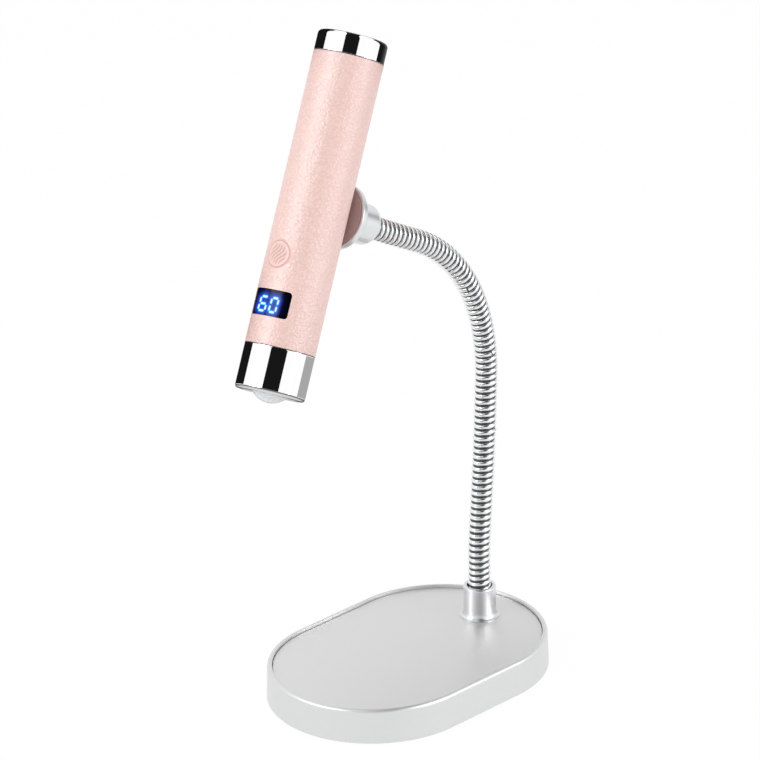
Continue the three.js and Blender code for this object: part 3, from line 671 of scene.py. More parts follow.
def add_object(name: str, data: bpy.types.ID) -> bpy.types.Object:
    """Make an object and link it to the scene.

    Args:
        name: its name.
        data: its mesh, lamp or camera.

    Returns:
        The object.
    """
    thing = bpy.data.objects.new(name, data)
    bpy.context.scene.collection.objects.link(thing)
    return thing


def to_object(bm: bmesh.types.BMesh, name: str, place: Matrix | None = None) -> bpy.types.Object:
    """Turn a mesh in millimetres to an object in metres, with its place in its mesh.

    Args:
        bm: the mesh, which is freed.
        name: the object's name.
        place: where the mesh's own frame lies in the row frame, in millimetres.

    Returns:
        The linked object.
    """
    bmesh.ops.transform(bm, matrix=Matrix.Scale(MM, 4) @ (place or Matrix()), verts=bm.verts)
    bmesh.ops.recalc_face_normals(bm, faces=bm.faces)
    mesh = bpy.data.meshes.new(name)
    bm.to_mesh(mesh)
    bm.free()
    return add_object(name, mesh)


def carve(thing: bpy.types.Object, cutters: Sequence[bpy.types.Object]) -> None:
    """Cut closed objects out of one, and remove them.

    Args:
        thing: the object that is cut.
        cutters: the closed objects.
    """
    for cutter in cutters:
        cut = thing.modifiers.new("cut", "BOOLEAN")
        cut.operation, cut.solver, cut.object = "DIFFERENCE", "EXACT", cutter
    bpy.context.view_layer.update()
    shown = thing.evaluated_get(bpy.context.evaluated_depsgraph_get())
    mesh = bpy.data.meshes.new_from_object(shown)
    old, thing.data = thing.data, mesh
    thing.modifiers.clear()
    mesh.name = thing.name
    bpy.data.meshes.remove(old)
    for cutter in cutters:
        bpy.data.objects.remove(cutter)


def dress(thing: bpy.types.Object, dressing: Dressing) -> bpy.types.Object:
    """Give an object its material and shading, and fasten it to its body.

    Args:
        thing: the object, whose mesh is final.
        dressing: its name, finish, body and nodes.

    Returns:
        The same object.
    """
    mesh = thing.data
    mesh.materials.clear()
    mesh.materials.append(dressing.finish.material())
    mesh.shade_smooth()
    mesh.set_sharp_from_angle(angle=math.radians(dressing.sharp_deg))
    if dressing.body:
        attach(thing, dressing.body)
    if dressing.nodes:
        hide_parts(*dressing.nodes)
    LOG.info("%s: %d faces, %s", thing.name, len(mesh.polygons), dressing.finish.name)
    return thing


def make(bm: bmesh.types.BMesh, dressing: Dressing, place: Matrix | None = None) -> bpy.types.Object:
    """Turn a mesh to an object and dress it."""
    return dress(to_object(bm, dressing.name, place), dressing)


# The route and the two tilted frames, with the CAD's own values


@dataclass(frozen=True)
class NeckRoute:
    """The gooseneck's centre line in the plane y = 0: straight runs and arcs from the socket up."""

    foot: Point2 = (33.85, 22.5)
    runs: tuple[Point2, ...] = (
        (7.6, 0.0), (14.0, -5.5), (53.0, 3.0), (26.0, 22.5), (42.0, 42.8), (23.9, -2.0),
    )

    @property
    def length(self) -> float:
        """The length of the free neck."""
        return sum(run for run, _ in self.runs)

    def at(self, s: float) -> tuple[Vector, Vector, Vector]:
        """Find a place on the neck.

        Args:
            s: distance along it; below 0 and past its length it goes on straight.

        Returns:
            The point, the tangent, and the side direction in the neck's plane.
        """
        x, z = self.foot
        angle, left = math.pi / 2, min(max(s, 0.0), self.length)
        for run, turn in self.runs:
            part = min(left, run)
            bend = math.radians(turn) / run
            after = angle + bend * part
            x += (math.sin(after) - math.sin(angle)) / bend if bend else part * math.cos(angle)
            z += (math.cos(angle) - math.cos(after)) / bend if bend else part * math.sin(angle)
            angle, left = after, left - part
            if left <= 0:
                break
        past = s if s < 0 else max(s - self.length, 0.0)
        tangent = Vector((math.cos(angle), 0.0, math.sin(angle)))
        side = Vector((math.sin(angle), 0.0, -math.cos(angle)))
        return Vector((x, 0.0, z)) + tangent * past, tangent, side


ROUTE = NeckRoute()


def cup_frame() -> Matrix:
    """Place the magnet cup's frame at the neck's end.

    Returns:
        The frame: +X out of the cup along the neck's end, +Z up in the neck's plane.
    """
    point, tangent, up = ROUTE.at(ROUTE.length)
    axes = Matrix((tangent, up.cross(tangent), up)).transposed()
    return Matrix.Translation(point) @ axes.to_4x4()


def lamp_frame(offset: float, turn_deg: float) -> Matrix:
    """The pen lamp's frame: +Z to its tail cap, +X to its display side."""
    move = Matrix.Translation((offset, 0.0, 0.0))
    return cup_frame() @ move @ Matrix.Rotation(math.radians(turn_deg), 4, "X")


AXIS_X = Matrix.Rotation(math.pi / 2, 4, "Y")


# Desk stand


@dataclass
class DeskStand:
    """The oval base with its let-in plate, foot pad and neck socket."""

    half_width: float = 35.0
    straight_half: float = 15.5
    foot: float = 0.6
    rim: float = 12.5
    draft: float = 0.4
    edge: float = 1.15
    inner_edge: float = 0.28
    rim_width: float = 1.6
    recess: float = 1.0
    deck: float = 1.8
    inner: float = 33.0
    steps: int = 128
    # The foot's bevel, inwards and upwards
    foot_bevel: Point2 = (0.3, 0.4)
    # Points that hold the wall's shading: a share of the draft, and a height from the foot or the rim
    wall_low: Point2 = (0.96, 0.9)
    wall_high: Point2 = (0.14, 1.6)
    # How closely its pieces lie on each other
    seat_gap: float = 0.05

    plate: float = 1.2
    plate_gap: float = 0.2
    plate_edge: float = 0.15
    stud_hole: Point2 = (3.3, 20.0)
    stud_steps: int = 48

    pad_half: float = 31.75
    pad: float = 1.2
    pad_edge: float = 0.35

    socket_x: float = 33.85
    socket_height: float = 11.0
    socket_steps: int = 96
    collar: float = 5.4
    collar_edge: float = 0.5
    flare_foot: float = 6.6
    flare_thickness: float = 0.25
    flare_height: float = 2.3
    flare_steps: int = 10
    # Points that hold the collar's shading, above the flare and below its top
    collar_support: Point2 = (0.4, 0.8)
    bore: float = 4.15
    bore_depth: float = 6.8
    bore_edge: float = 0.3
    stud: float = 3.0
    stud_bore: float = 1.9
    stud_foot: float = 3.93

    def oval(self, corners: Sequence[Corner]) -> bmesh.types.BMesh:
        """Turn a profile and stretch it to the base's outline.

        Args:
            corners: the profile, as at the base's round ends.

        Returns:
            The oval mesh.
        """
        bm = lathe(rounded(corners), self.steps)
        half_step = Matrix.Rotation(math.pi / self.steps, 4, "Z")
        bmesh.ops.transform(bm, matrix=half_step, verts=bm.verts)
        stretch_to_oval(bm, self.straight_half)
        return bm

    def build_housing(self) -> None:
        """Shape the wall with its rounded rim, and the deck under the plate."""
        outer = self.half_width + self.draft
        inner_wall = self.half_width - self.rim_width
        deck_top = self.rim - self.recess - self.plate - self.seat_gap
        (bevel_in, bevel_up), (low_share, low_up) = self.foot_bevel, self.wall_low
        high_share, high_down = self.wall_high
        corners = [
            (self.inner, self.foot, 0.0),
            (outer - bevel_in, self.foot, 0.0),
            (outer, self.foot + bevel_up, 0.0),
            (self.half_width + self.draft * low_share, self.foot + low_up, 0.0),
            (self.half_width + self.draft * high_share, self.rim - high_down, 0.0),
            (self.half_width, self.rim, self.edge),
            (inner_wall, self.rim, self.inner_edge),
            (inner_wall, deck_top, 0.0),
            (NEAR_AXIS, deck_top, 0.0),
            (NEAR_AXIS, deck_top - self.deck, 0.0),
            (self.inner, deck_top - self.deck, 0.0),
        ]
        make(self.oval(corners), Dressing("base_shell", SILVER_LACQUER, "stand", ("base_housing",)))

    def build_plate(self) -> None:
        """Shape the plate let into the rim, with its edge broken and a hole for the stud."""
        half = self.half_width - self.rim_width - self.plate_gap
        top = self.rim - self.recess
        low = top - self.plate
        corners = [(0.0, low, 0.0), (half, low, 0.0), (half, top, self.plate_edge), (0.0, top, 0.0)]
        dressing = Dressing("base_let_in_plate", ANODISED_PLATE, "stand", ("base_top_plate",))
        thing = to_object(self.oval(corners), dressing.name)
        reach, height = self.stud_hole
        stud = lathe([(0.0, 0.0), (reach, 0.0), (reach, height), (0.0, height)], self.stud_steps)
        carve(thing, [to_object(stud, "stud_way", Matrix.Translation((self.socket_x, 0.0, 0.0)))])
        dress(thing, dressing)

    def build_foot(self) -> None:
        """Shape the foam sheet that the stand rests on."""
        half, top = self.pad_half, self.pad
        corners = [(0.0, 0.0, 0.0), (half, 0.0, self.pad_edge), (half, top, 0.0), (0.0, top, 0.0)]
        make(self.oval(corners), Dressing("foot_sheet", FOOT_FOAM, "stand", ("base_foot_pad",)))

    def build_socket(self) -> None:
        """Turn the neck socket: a concave flare on the plate, a plain collar, a blind bore."""
        top = self.rim - self.recess + self.socket_height
        seat = self.rim - self.recess + self.seat_gap
        flare_low = seat + self.flare_thickness
        above_flare, below_top = self.collar_support
        flare = [
            (
                self.flare_foot - (self.flare_foot - self.collar) * math.sin(angle),
                flare_low + self.flare_height * (1 - math.cos(angle)),
                0.0,
            )
            for angle in (math.pi / 2 * k / self.flare_steps for k in range(self.flare_steps + 1))
        ]
        corners = [
            (self.stud_bore, self.stud_foot, 0.0),
            (self.stud, self.stud_foot, 0.0),
            (self.stud, seat, 0.0),
            (self.flare_foot, seat, 0.0),
            *flare,
            (self.collar, flare_low + self.flare_height + above_flare, 0.0),
            (self.collar, top - below_top, 0.0),
            (self.collar, top, self.collar_edge),
            (self.bore, top, self.bore_edge),
            (self.bore, top - self.bore_depth, 0.0),
            (self.stud_bore, top - self.bore_depth, 0.0),
        ]
        place = Matrix.Translation((self.socket_x, 0.0, 0.0))
        dressing = Dressing("neck_foot_socket", TURNED_ALUMINIUM, "stand", ("neck_socket",))
        make(lathe(rounded(corners, FINE), self.socket_steps), dressing, place)

    def build(self) -> None:
        """Build every piece of the stand."""
        self.build_housing()
        self.build_plate()
        self.build_foot()
        self.build_socket()


# Gooseneck


@dataclass
class Gooseneck:
    """A round wire wound on a bendable core, with a three-sided wire in the gaps between its turns."""

    radius: float = 3.85
    wire: float = 1.6
    pitch: float = 2.15
    steps: int = 28
    sides: int = 12
    in_foot: float = 6.5
    in_head: float = 4.8
    bends: int = 6
    # Half the gap between one bending length and the next
    gap: float = 0.02
    core: float = 1.6
    core_sides: int = 16
    core_step: float = 1.5
    sharp_deg: float = 50.0
    # The filler wire's foot and top, as radii, and the half-widths of its section from the top down,
    # each with its distance from the top or the foot
    filler_low: float = 2.25
    filler_top: float = 3.45
    filler_crest: float = 0.1
    filler_shoulder: Point2 = (0.12, 0.24)
    filler_heel: Point2 = (0.1, 0.62)
    filler_foot: float = 0.5
    bodies: tuple[str, ...] = ("stand", "neck_1", "neck_2", "neck_3", "neck_4", "neck_5", "head")

    def turn_matrix(self, s: float, shift: float, centre: float) -> Matrix:
        """The frame of the winding at a place: X outwards, Y across the wire, Z along it.

        Args:
            s: distance along the neck.
            shift: the share of a pitch that the winding lies ahead.
            centre: the radius of the section's origin.

        Returns:
            The frame's matrix.
        """
        point, tangent, side = ROUTE.at(s)
        phase = math.tau * (s / self.pitch - shift)
        across = Vector((0.0, 1.0, 0.0))
        out = side * math.cos(phase) + across * math.sin(phase)
        around = across * math.cos(phase) - side * math.sin(phase)
        along = (around + tangent * (self.pitch / (math.tau * centre))).normalized()
        axes = Matrix((out, along.cross(out), along)).transposed().to_4x4()
        return Matrix.Translation(point + out * centre) @ axes

    def winding(
        self, start: float, end: float, shift: float, section: Sequence[Point2], centre: float
    ) -> bmesh.types.BMesh:
        """Wind a section round the core.

        Args:
            start: where it begins along the neck.
            end: where it ends.
            shift: the share of a pitch that the winding lies ahead.
            section: the wire's section.
            centre: the radius of the section's origin.

        Returns:
            The wound wire.
        """
        count = round((end - start) / self.pitch * self.steps)
        places = [start + (end - start) * k / count for k in range(count + 1)]
        return sweep([self.turn_matrix(s, shift, centre) for s in places], section)

    def filler_section(self, centre: float) -> list[Point2]:
        """The filler wire's section, about the round wire's centre line.

        Args:
            centre: the radius of that centre line.

        Returns:
            The section's corners.
        """
        low, top = self.filler_low - centre, self.filler_top - centre
        (down, shoulder), (up, heel) = self.filler_shoulder, self.filler_heel
        half = [
            (top, self.filler_crest), (top - down, shoulder), (low + up, heel), (low, self.filler_foot),
        ]
        return [(top, -self.filler_crest), *half, *((x, -y) for x, y in half[:0:-1])]

    def build_length(self, k: int) -> None:
        """Build the round wire, the filler wire and the core of one bending length.

        Args:
            k: its number, from 0 at the foot.
        """
        span = ROUTE.length / self.bends
        start = -self.in_foot + self.wire / 2 if k == 0 else k * span + self.gap
        last = k + 1 == self.bends
        end = ROUTE.length + self.in_head - self.wire / 2 if last else (k + 1) * span - self.gap
        centre = self.radius - self.wire / 2
        wire = circle(self.wire / 2, self.sides)
        filler = self.filler_section(centre)[::-1]
        ends = [ROUTE.at((k + step) * span)[0] * MM for step in (0, 1)]
        coil = (f"gooseneck_coil_{k + 1}",)
        core = (f"gooseneck_core_{k + 1}",) + ((f"gooseneck_core_{k + 2}",) if last else ())
        pieces = (
            # The filler wire's dark colour is painted shade in the gaps between the turns
            ("wire", BRIGHT_WIRE, coil, self.winding(start, end, 0.0, wire, centre)),
            ("filler", SHADED_FILLER_WIRE, (), self.winding(start, end, 0.5, filler, centre)),
            ("rod", CORE_STEEL, core, self.core_rod(start, end)),
        )
        for name, finish, nodes, bm in pieces:
            thing = make(bm, Dressing(f"gooseneck_{name}_{k + 1}", finish, "", nodes, self.sharp_deg))
            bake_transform(thing)

    def core_rod(self, start: float, end: float) -> bmesh.types.BMesh:
        """Sweep the round core.

        Args:
            start: where it begins along the neck.
            end: where it ends.

        Returns:
            The core.
        """
        count = math.ceil((end - start) / self.core_step)
        stations = []
        for j in range(count + 1):
            point, tangent, side = ROUTE.at(start + (end - start) * j / count)
            axes = Matrix((side, tangent.cross(side), tangent)).transposed().to_4x4()
            stations.append(Matrix.Translation(point) @ axes)
        return sweep(stations, circle(self.core, self.core_sides))

    def build(self) -> None:
        """Build all the bending lengths."""
        for k in range(self.bends):
            self.build_length(k)


# Magnet cup


@dataclass
class MagnetCup:
    """The turned cup on the neck's end, with the magnet's silicone facing."""

    length: float = 15.3
    collar: float = 6.55
    collar_length: float = 11.7
    back_edge: float = 2.6
    collar_edge: float = 0.35
    # Points that hold the collar's shading, past its round back and before its front
    collar_support: Point2 = (0.4, 0.7)
    flange: float = 10.6
    flange_back: float = 9.5
    flange_slope: float = 1.5
    # Fillets of the flange's back, of its slope's top and of its front, outside and inside
    flange_edges: tuple[float, float, float, float] = (0.2, 0.5, 0.3, 0.2)
    lip: float = 0.8
    bore: float = 4.15
    bore_depth: float = 9.6
    bore_edge: float = 0.25
    magnet: float = 1.5
    magnet_bed: float = 0.3
    screw_head: float = 2.8
    screw_head_height: float = 1.2
    screw_way: float = 1.5
    gap: float = 0.05
    pad: float = 0.8
    pad_proud: float = 0.15
    pad_gap: float = 0.04
    pad_edge: float = 0.1
    steps: int = 128
    pad_steps: int = 96

    def build(self) -> None:
        """Turn the cup and the facing, both along the cup's axis."""
        pad_back = self.length + self.pad_proud - self.pad
        floor = pad_back - self.gap - self.magnet - self.magnet_bed
        seat = floor - self.gap - self.screw_head_height - self.gap
        pocket = self.flange - self.lip
        past_back, before_front = self.collar_support
        back, slope, outside, inside = self.flange_edges
        corners = [
            (self.screw_way, self.bore_depth, 0.0),
            (self.bore, self.bore_depth, 0.0),
            (self.bore, 0.0, self.bore_edge),
            (self.collar, 0.0, self.back_edge),
            (self.collar, self.back_edge + past_back, 0.0),
            (self.collar, self.collar_length - before_front, 0.0),
            (self.collar, self.collar_length, self.collar_edge),
            (self.flange_back, self.collar_length, back),
            (self.flange, self.collar_length + self.flange_slope, slope),
            (self.flange, self.length, outside),
            (pocket, self.length, inside),
            (pocket, floor, 0.0),
            (self.screw_head, floor, 0.0),
            (self.screw_head, seat, 0.0),
            (self.screw_way, seat, 0.0),
        ]
        place = cup_frame() @ AXIS_X
        dressing = Dressing("neck_end_cup", TURNED_ALUMINIUM, "head", ("magnet_cup",), sharp_deg=40.0)
        make(lathe(rounded(corners, FINE), self.steps), dressing, place)
        facing, front = pocket - self.pad_gap, pad_back + self.pad
        pad_corners = [
            (0.0, pad_back, 0.0),
            (facing, pad_back, 0.0),
            (facing, front, self.pad_edge),
            (0.0, front, 0.0),
        ]
        # The facing's darkened colour is painted shadow of the lamp on it
        dressing = Dressing("magnet_facing", PINK_SILICONE_IN_SHADOW, "magnet", ("magnet_pad",))
        make(lathe(rounded(pad_corners), self.pad_steps), dressing, place)


# Pen lamp


@dataclass(frozen=True)
class PadDesign:
    """The design pressed into the touch pad: a groove and a bead round nested wavy ridges."""

    # Radius, width and height of each ring
    groove: Point3 = (4.22, 0.22, -0.16)
    bead: Point3 = (3.9, 0.2, 0.05)
    turn_deg: float = -28.0
    ridge_pitch: float = 1.16
    ridge_depth: float = 0.075
    wave: float = 0.55
    wave_rate: float = 0.95
    patch: float = 3.2
    patch_edge: float = 0.1
    # The depth at which the pressed lines get their full painted shade
    full_shade_depth: float = 0.15

    def height(self, across: float, up: float) -> float:
        """The design's height at a place on the pad.

        Args:
            across: distance sideways from the pad's middle.
            up: distance above its middle.

        Returns:
            The height, which is below 0 where the design is pressed in.
        """
        reach = math.hypot(across, up)
        rings = sum(
            rise * math.exp(-(((reach - radius) / width) ** 2))
            for radius, width, rise in (self.groove, self.bead)
        )
        turn = math.radians(self.turn_deg)
        x = across * math.cos(turn) + up * math.sin(turn)
        y = -across * math.sin(turn) + up * math.cos(turn)
        ridge = math.cos(math.tau * (x - self.wave * math.sin(y * self.wave_rate)) / self.ridge_pitch)
        inside = 1 / (1 + math.exp((reach - self.patch) / self.patch_edge))
        return rings - self.ridge_depth * (1 - ridge) * inside


@dataclass(frozen=True)
class ChargePort:
    """The charging socket behind the tail cap's slot: a drawn shell, a black tongue, gold contacts."""

    # The cap's slot: width, thickness, and how far its cutter reaches below and past the cap's end
    slot: Point2 = (9.5, 3.8)
    slot_reach: Point2 = (3.0, 2.0)
    setback: float = 0.75
    depth: float = 7.3
    shell: Point2 = (8.9, 3.2)
    hollow: Point2 = (8.3, 2.6)
    back_wall: float = 0.8
    hollow_past: float = 1.0
    # Thickness, width, corner radius and length of the tongue and of a contact
    tongue: Sizes4 = (0.7, 6.6, 0.2, 4.9)
    tongue_rise: float = 0.4
    contact: Sizes4 = (0.04, 0.26, 0.0, 2.6)
    contacts: int = 12
    contact_pitch: float = 0.5
    contact_out: float = 0.37
    contact_rise: float = 2.2

    def slot_way(self, cap_end: float) -> bmesh.types.BMesh:
        """The cutter of the tail cap's slot."""
        below, past = self.slot_reach
        return slot_prism(*self.slot, cap_end - below, cap_end + past)

    def build(self, cap_end: float, frame: Matrix) -> None:
        """Shape the shell, the tongue and the contacts on both its sides.

        Args:
            cap_end: the height of the tail cap's end.
            frame: the lamp's frame.
        """
        end = cap_end - self.setback
        foot = end - self.depth
        dressing = Dressing("charge_socket", NICKEL, "lamp", ("usb_c_receptacle",))
        shell = to_object(slot_prism(*self.shell, foot, end), dressing.name, frame)
        hollow = slot_prism(*self.hollow, foot + self.back_wall, end + self.hollow_past)
        carve(shell, [to_object(hollow, "socket_hollow", frame)])
        dress(shell, dressing)
        tongue = flat_plate(*self.tongue, UNCUT)
        bmesh.ops.translate(tongue, vec=(0, 0, foot + self.tongue_rise), verts=tongue.verts)
        make(tongue, Dressing("charge_socket_tongue", BLACK_ABS, "lamp"), frame)
        pins = []
        for k in range(self.contacts):
            across = (k - (self.contacts - 1) / 2) * self.contact_pitch
            for side in (-1, 1):
                pin = flat_plate(*self.contact, UNCUT)
                move = (side * self.contact_out, across, foot + self.contact_rise)
                bmesh.ops.translate(pin, vec=move, verts=pin.verts)
                pins.append(pin)
        make(joined(pins), Dressing("charge_socket_contacts", GOLD_CONTACT, "lamp"), frame)


@dataclass
class PenLamp:
    """The leather-clad pen with its display, touch pad, chrome ends and lens."""

    offset: float = 26.9
    turn_deg: float = 7.9
    frame: Matrix = field(default_factory=Matrix)
    # Segments round the barrel, the lens and the rods that are cut or set across it
    spokes: int = 160
    lens_spokes: int = 128
    rod_spokes: int = 64

    radius: float = 11.15
    sleeve: float = 0.8
    sleeve_top: float = 47.8
    sleeve_length: float = 93.1
    sleeve_edge: float = 0.22
    sleeve_edge_segments: int = 4
    sleeve_rows: int = 60
    seam: float = 0.1
    # The black rings in the seams, painted shade for their shadow: inner radius, and clearance at each
    # side
    seam_ring: float = 10.4
    seam_ring_gap: float = 0.005

    window_z: float = -32.3
    window_height: float = 8.4
    window_half_deg: float = 41.5
    window_corner: float = 1.1
    # How far each lies inside the window's outline, its inner and outer radius, and its cells
    window_way: Sizes4 = (0.0, 9.5, 12.0, 0.8)
    pane: Sizes4 = (0.06, 10.35, 11.06, 0.2)
    # The digits, as they show from the side they are read from
    view_deg: float = 40.83
    digit_height: float = 5.42
    digit_width: float = 3.75
    digit_pitch: float = 4.46
    digit_place: Point2 = (0.08, -0.6)
    digit_depth: float = 1.05
    digit_lean: float = 0.1
    stroke: float = 1.0
    # Shares of a stroke's width: left off at each end, rounded at its corners, lit from its middle
    stroke_trim: float = 0.66
    stroke_corner: float = 0.48
    stroke_core: float = 0.52
    stroke_thickness: float = 0.03
    stroke_cell: float = 0.13
    stroke_sunk: float = 0.1
    # How far the digits' glow reaches, and the power of its fall
    glow_reach: float = 1.5
    glow_fall: float = 1.5

    button_z: float = -17.0
    button_radius: float = 4.68
    button_hole: float = 4.71
    # From where to where the hole is cut, out from the lamp's axis
    hole_reach: Point2 = (5.0, 14.0)
    pad_rings: int = 56
    pad_spokes: int = 128
    pad_foot: float = 7.2
    pad_flange: float = 5.2
    pad_flange_low: float = 6.1
    design: PadDesign = PadDesign()

    # Both chrome ends: outer radius, corner and support point beside the seam, and the hollow spigot
    chrome: float = 11.1
    chrome_corner: float = 0.05
    chrome_support: float = 0.3
    spigot: Point2 = (8.05, 9.05)
    spigot_depth: float = 5.0
    tail_end: float = 54.5
    tail_wall: float = 1.5
    tail_edge: float = 1.3
    tail_support: float = 1.6
    port: ChargePort = ChargePort()

    head_end: float = -59.6
    head_edge: float = 0.9
    head_support: float = 1.2
    head_mouth: float = 8.9
    head_mouth_edge: float = 0.4
    head_lip: float = 1.0
    head_bore: float = 9.6
    head_floor: float = 1.2

    # The bezel: height over the head's end, radii, thickness, height and fillet of its inner slope
    bezel_rise: float = 1.05
    bezel: Point2 = (5.8, 9.3)
    bezel_thickness: float = 1.2
    bezel_slope: Point2 = (0.5, 0.12)
    bezel_edge: float = 0.3

    # The dome: radius, height of its cap, how far it stands proud, and its flange over the bezel
    lens: float = 5.5
    lens_cap: float = 2.67
    lens_proud: float = 2.55
    lens_steps: int = 18
    lens_flange: float = 7.6
    lens_flange_rise: float = 1.25
    lens_flange_thickness: float = 1.0

    def __post_init__(self) -> None:
        """Place the lamp's frame on the magnet."""
        self.frame = lamp_frame(self.offset, self.turn_deg)

    def ride(self, bm: bmesh.types.BMesh, dressing: Dressing) -> bpy.types.Object:
        """Place a mesh of the lamp's frame and dress it."""
        return make(bm, dressing, self.frame)

    def front_rod(self, radius: float, start: float, end: float, height: float) -> bmesh.types.BMesh:
        """A cylinder along the lamp's +X.

        Args:
            radius: its radius.
            start: where it begins, out from the lamp's axis.
            end: where it ends.
            height: how high it lies along the lamp.

        Returns:
            The cylinder.
        """
        bm = lathe([(0.0, start), (radius, start), (radius, end), (0.0, end)], self.rod_spokes)
        bmesh.ops.transform(bm, matrix=Matrix.Translation((0, 0, height)) @ AXIS_X, verts=bm.verts)
        return bm

    def window_plate(self, inset: float, low: float, high: float, cell: float) -> bmesh.types.BMesh:
        """A plate of the window's outline, bent round the barrel.

        Args:
            inset: how far its outline lies inside the window's.
            low: its inner radius.
            high: its outer radius.
            cell: largest distance between its cuts.

        Returns:
            The bent plate.
        """
        arc = 2 * self.radius * math.radians(self.window_half_deg)
        width, height = arc - 2 * inset, self.window_height - 2 * inset
        bm = flat_plate(width, height, self.window_corner - inset, high - low, cell)
        bmesh.ops.translate(bm, vec=(0, 0, low - self.radius), verts=bm.verts)
        wrap(bm, self.radius, self.window_z)
        return bm

    def build_sleeve(self) -> None:
        """Turn the leather sleeve, with its window and the hole for the touch pad."""
        low, high = self.sleeve_top - self.sleeve_length + self.seam, self.sleeve_top - self.seam
        inner, rows = self.radius - self.sleeve, self.sleeve_rows
        corners = [
            (inner, low, 0.0),
            (self.radius, low, self.sleeve_edge),
            *((self.radius, low + (high - low) * k / rows, 0.0) for k in range(1, rows)),
            (self.radius, high, self.sleeve_edge),
            (inner, high, 0.0),
        ]
        dressing = Dressing("leather_sleeve", PINK_LEATHER, "lamp", ("grip_sleeve",))
        profile = rounded(corners, self.sleeve_edge_segments)
        thing = to_object(lathe(profile, self.spokes), dressing.name, self.frame)
        window = to_object(self.window_plate(*self.window_way), "window_way", self.frame)
        hole = self.front_rod(self.button_hole, *self.hole_reach, self.button_z)
        carve(thing, [window, to_object(hole, "pad_way", self.frame)])
        dress(thing, dressing)

    def strokes(self) -> list[tuple[Vector, Vector]]:
        """Lay out the lit strokes of the two digits.

        Returns:
            The ends of each stroke's middle line on the flat.
        """
        half_w, half_h = (self.digit_width - self.stroke) / 2, (self.digit_height - self.stroke) / 2
        centre = Vector(self.digit_place)
        ends = {
            "a": ((-1, 2), (1, 2)), "b": ((1, 2), (1, 0)), "c": ((1, 0), (1, -2)),
            "d": ((1, -2), (-1, -2)), "e": ((-1, -2), (-1, 0)), "f": ((-1, 0), (-1, 2)),
            "g": ((-1, 0), (1, 0)),
        }
        found = []
        for middle, lit in ((-self.digit_pitch / 2, "acdefg"), (self.digit_pitch / 2, "abcdef")):
            for name in lit:
                pair = []
                for x, y in ends[name]:
                    up = y / 2 * half_h
                    pair.append(Vector((middle + x * half_w + self.digit_lean * up, up)) + centre)
                trim = (pair[1] - pair[0]).normalized() * (self.stroke * self.stroke_trim)
                found.append((pair[0] + trim, pair[1] - trim))
        return found

    def to_pane(self, flat: float) -> float:
        """Find where a place on the flat display shows on the pane.

        Args:
            flat: distance across the display, which lies flat a little behind the pane's crown.

        Returns:
            The arc length on the pane from its middle.
        """
        view = math.radians(self.view_deg)
        depth = self.radius - self.digit_depth
        across = (flat * math.cos(view) - depth * math.sin(view)) / self.radius
        return (math.asin(max(-1.0, min(1.0, across))) + view) * self.radius

    def to_flat(self, arc: float) -> float:
        """Find the place on the flat display that shows at a place on the pane.

        Args:
            arc: the arc length on the pane from its middle.

        Returns:
            The distance across the display.
        """
        view = math.radians(self.view_deg)
        depth = self.radius - self.digit_depth
        across = self.radius * math.sin(arc / self.radius - view)
        return (across + depth * math.sin(view)) / math.cos(view)

    @staticmethod
    def distance(point: Vector, stroke: tuple[Vector, Vector]) -> float:
        """Measure from a point to a stroke's middle line.

        Args:
            point: the point, on the flat.
            stroke: the line's two ends.

        Returns:
            The distance.
        """
        start, end = stroke
        run = end - start
        share = min(max((point - start).dot(run) / run.dot(run), 0.0), 1.0)
        return (point - start - run * share).length

    def light(self, thing: bpy.types.Object, name: str, level: Callable[[float], float]) -> None:
        """Store how strongly each point of a display piece is lit, from its distance to the strokes.

        Args:
            thing: the display piece.
            name: the attribute's name.
            level: turns a distance in millimetres to a level.
        """
        strokes = self.strokes()
        back = self.frame.inverted()
        attribute = thing.data.attributes.new(name, "FLOAT", "POINT")
        for vert, slot in zip(thing.data.vertices, attribute.data):
            local = back @ (vert.co / MM)
            arc = math.atan2(local.y, local.x) * self.radius
            flat = Vector((self.to_flat(arc), local.z - self.window_z))
            slot.value = level(min(self.distance(flat, stroke) for stroke in strokes))

    def build_display(self) -> None:
        """Bend the smoked window and lay the two lit digits on it."""
        dressing = Dressing("smoked_window", SMOKED_ACRYLIC, "lamp", ("display_window",))
        pane = to_object(self.window_plate(*self.pane), dressing.name, self.frame)
        self.light(pane, "glow", lambda d: math.exp(-((d / self.glow_reach) ** self.glow_fall)))
        dress(pane, dressing)
        parts = []
        for start, end in self.strokes():
            run = end - start
            bar = flat_plate(
                run.length + self.stroke, self.stroke, self.stroke * self.stroke_corner,
                self.stroke_thickness, self.stroke_cell,
            )
            turn = Matrix.Rotation(math.atan2(run.y, run.x), 4, "Z")
            middle = (start + end) / 2
            move = Matrix.Translation((middle.x, middle.y, -self.stroke_sunk))
            bmesh.ops.transform(bar, matrix=move @ turn, verts=bar.verts)
            for vert in bar.verts:
                vert.co.x = self.to_pane(vert.co.x)
            parts.append(bar)
        digits = joined(parts)
        wrap(digits, self.radius, self.window_z)
        lit = to_object(digits, "display_digits", self.frame)
        core = self.stroke * self.stroke_core
        self.light(lit, "core", lambda d: max(0.0, 1 - (d / core) ** 2))
        dress(lit, Dressing("display_digits", DIGIT_LIGHT, "lamp"))

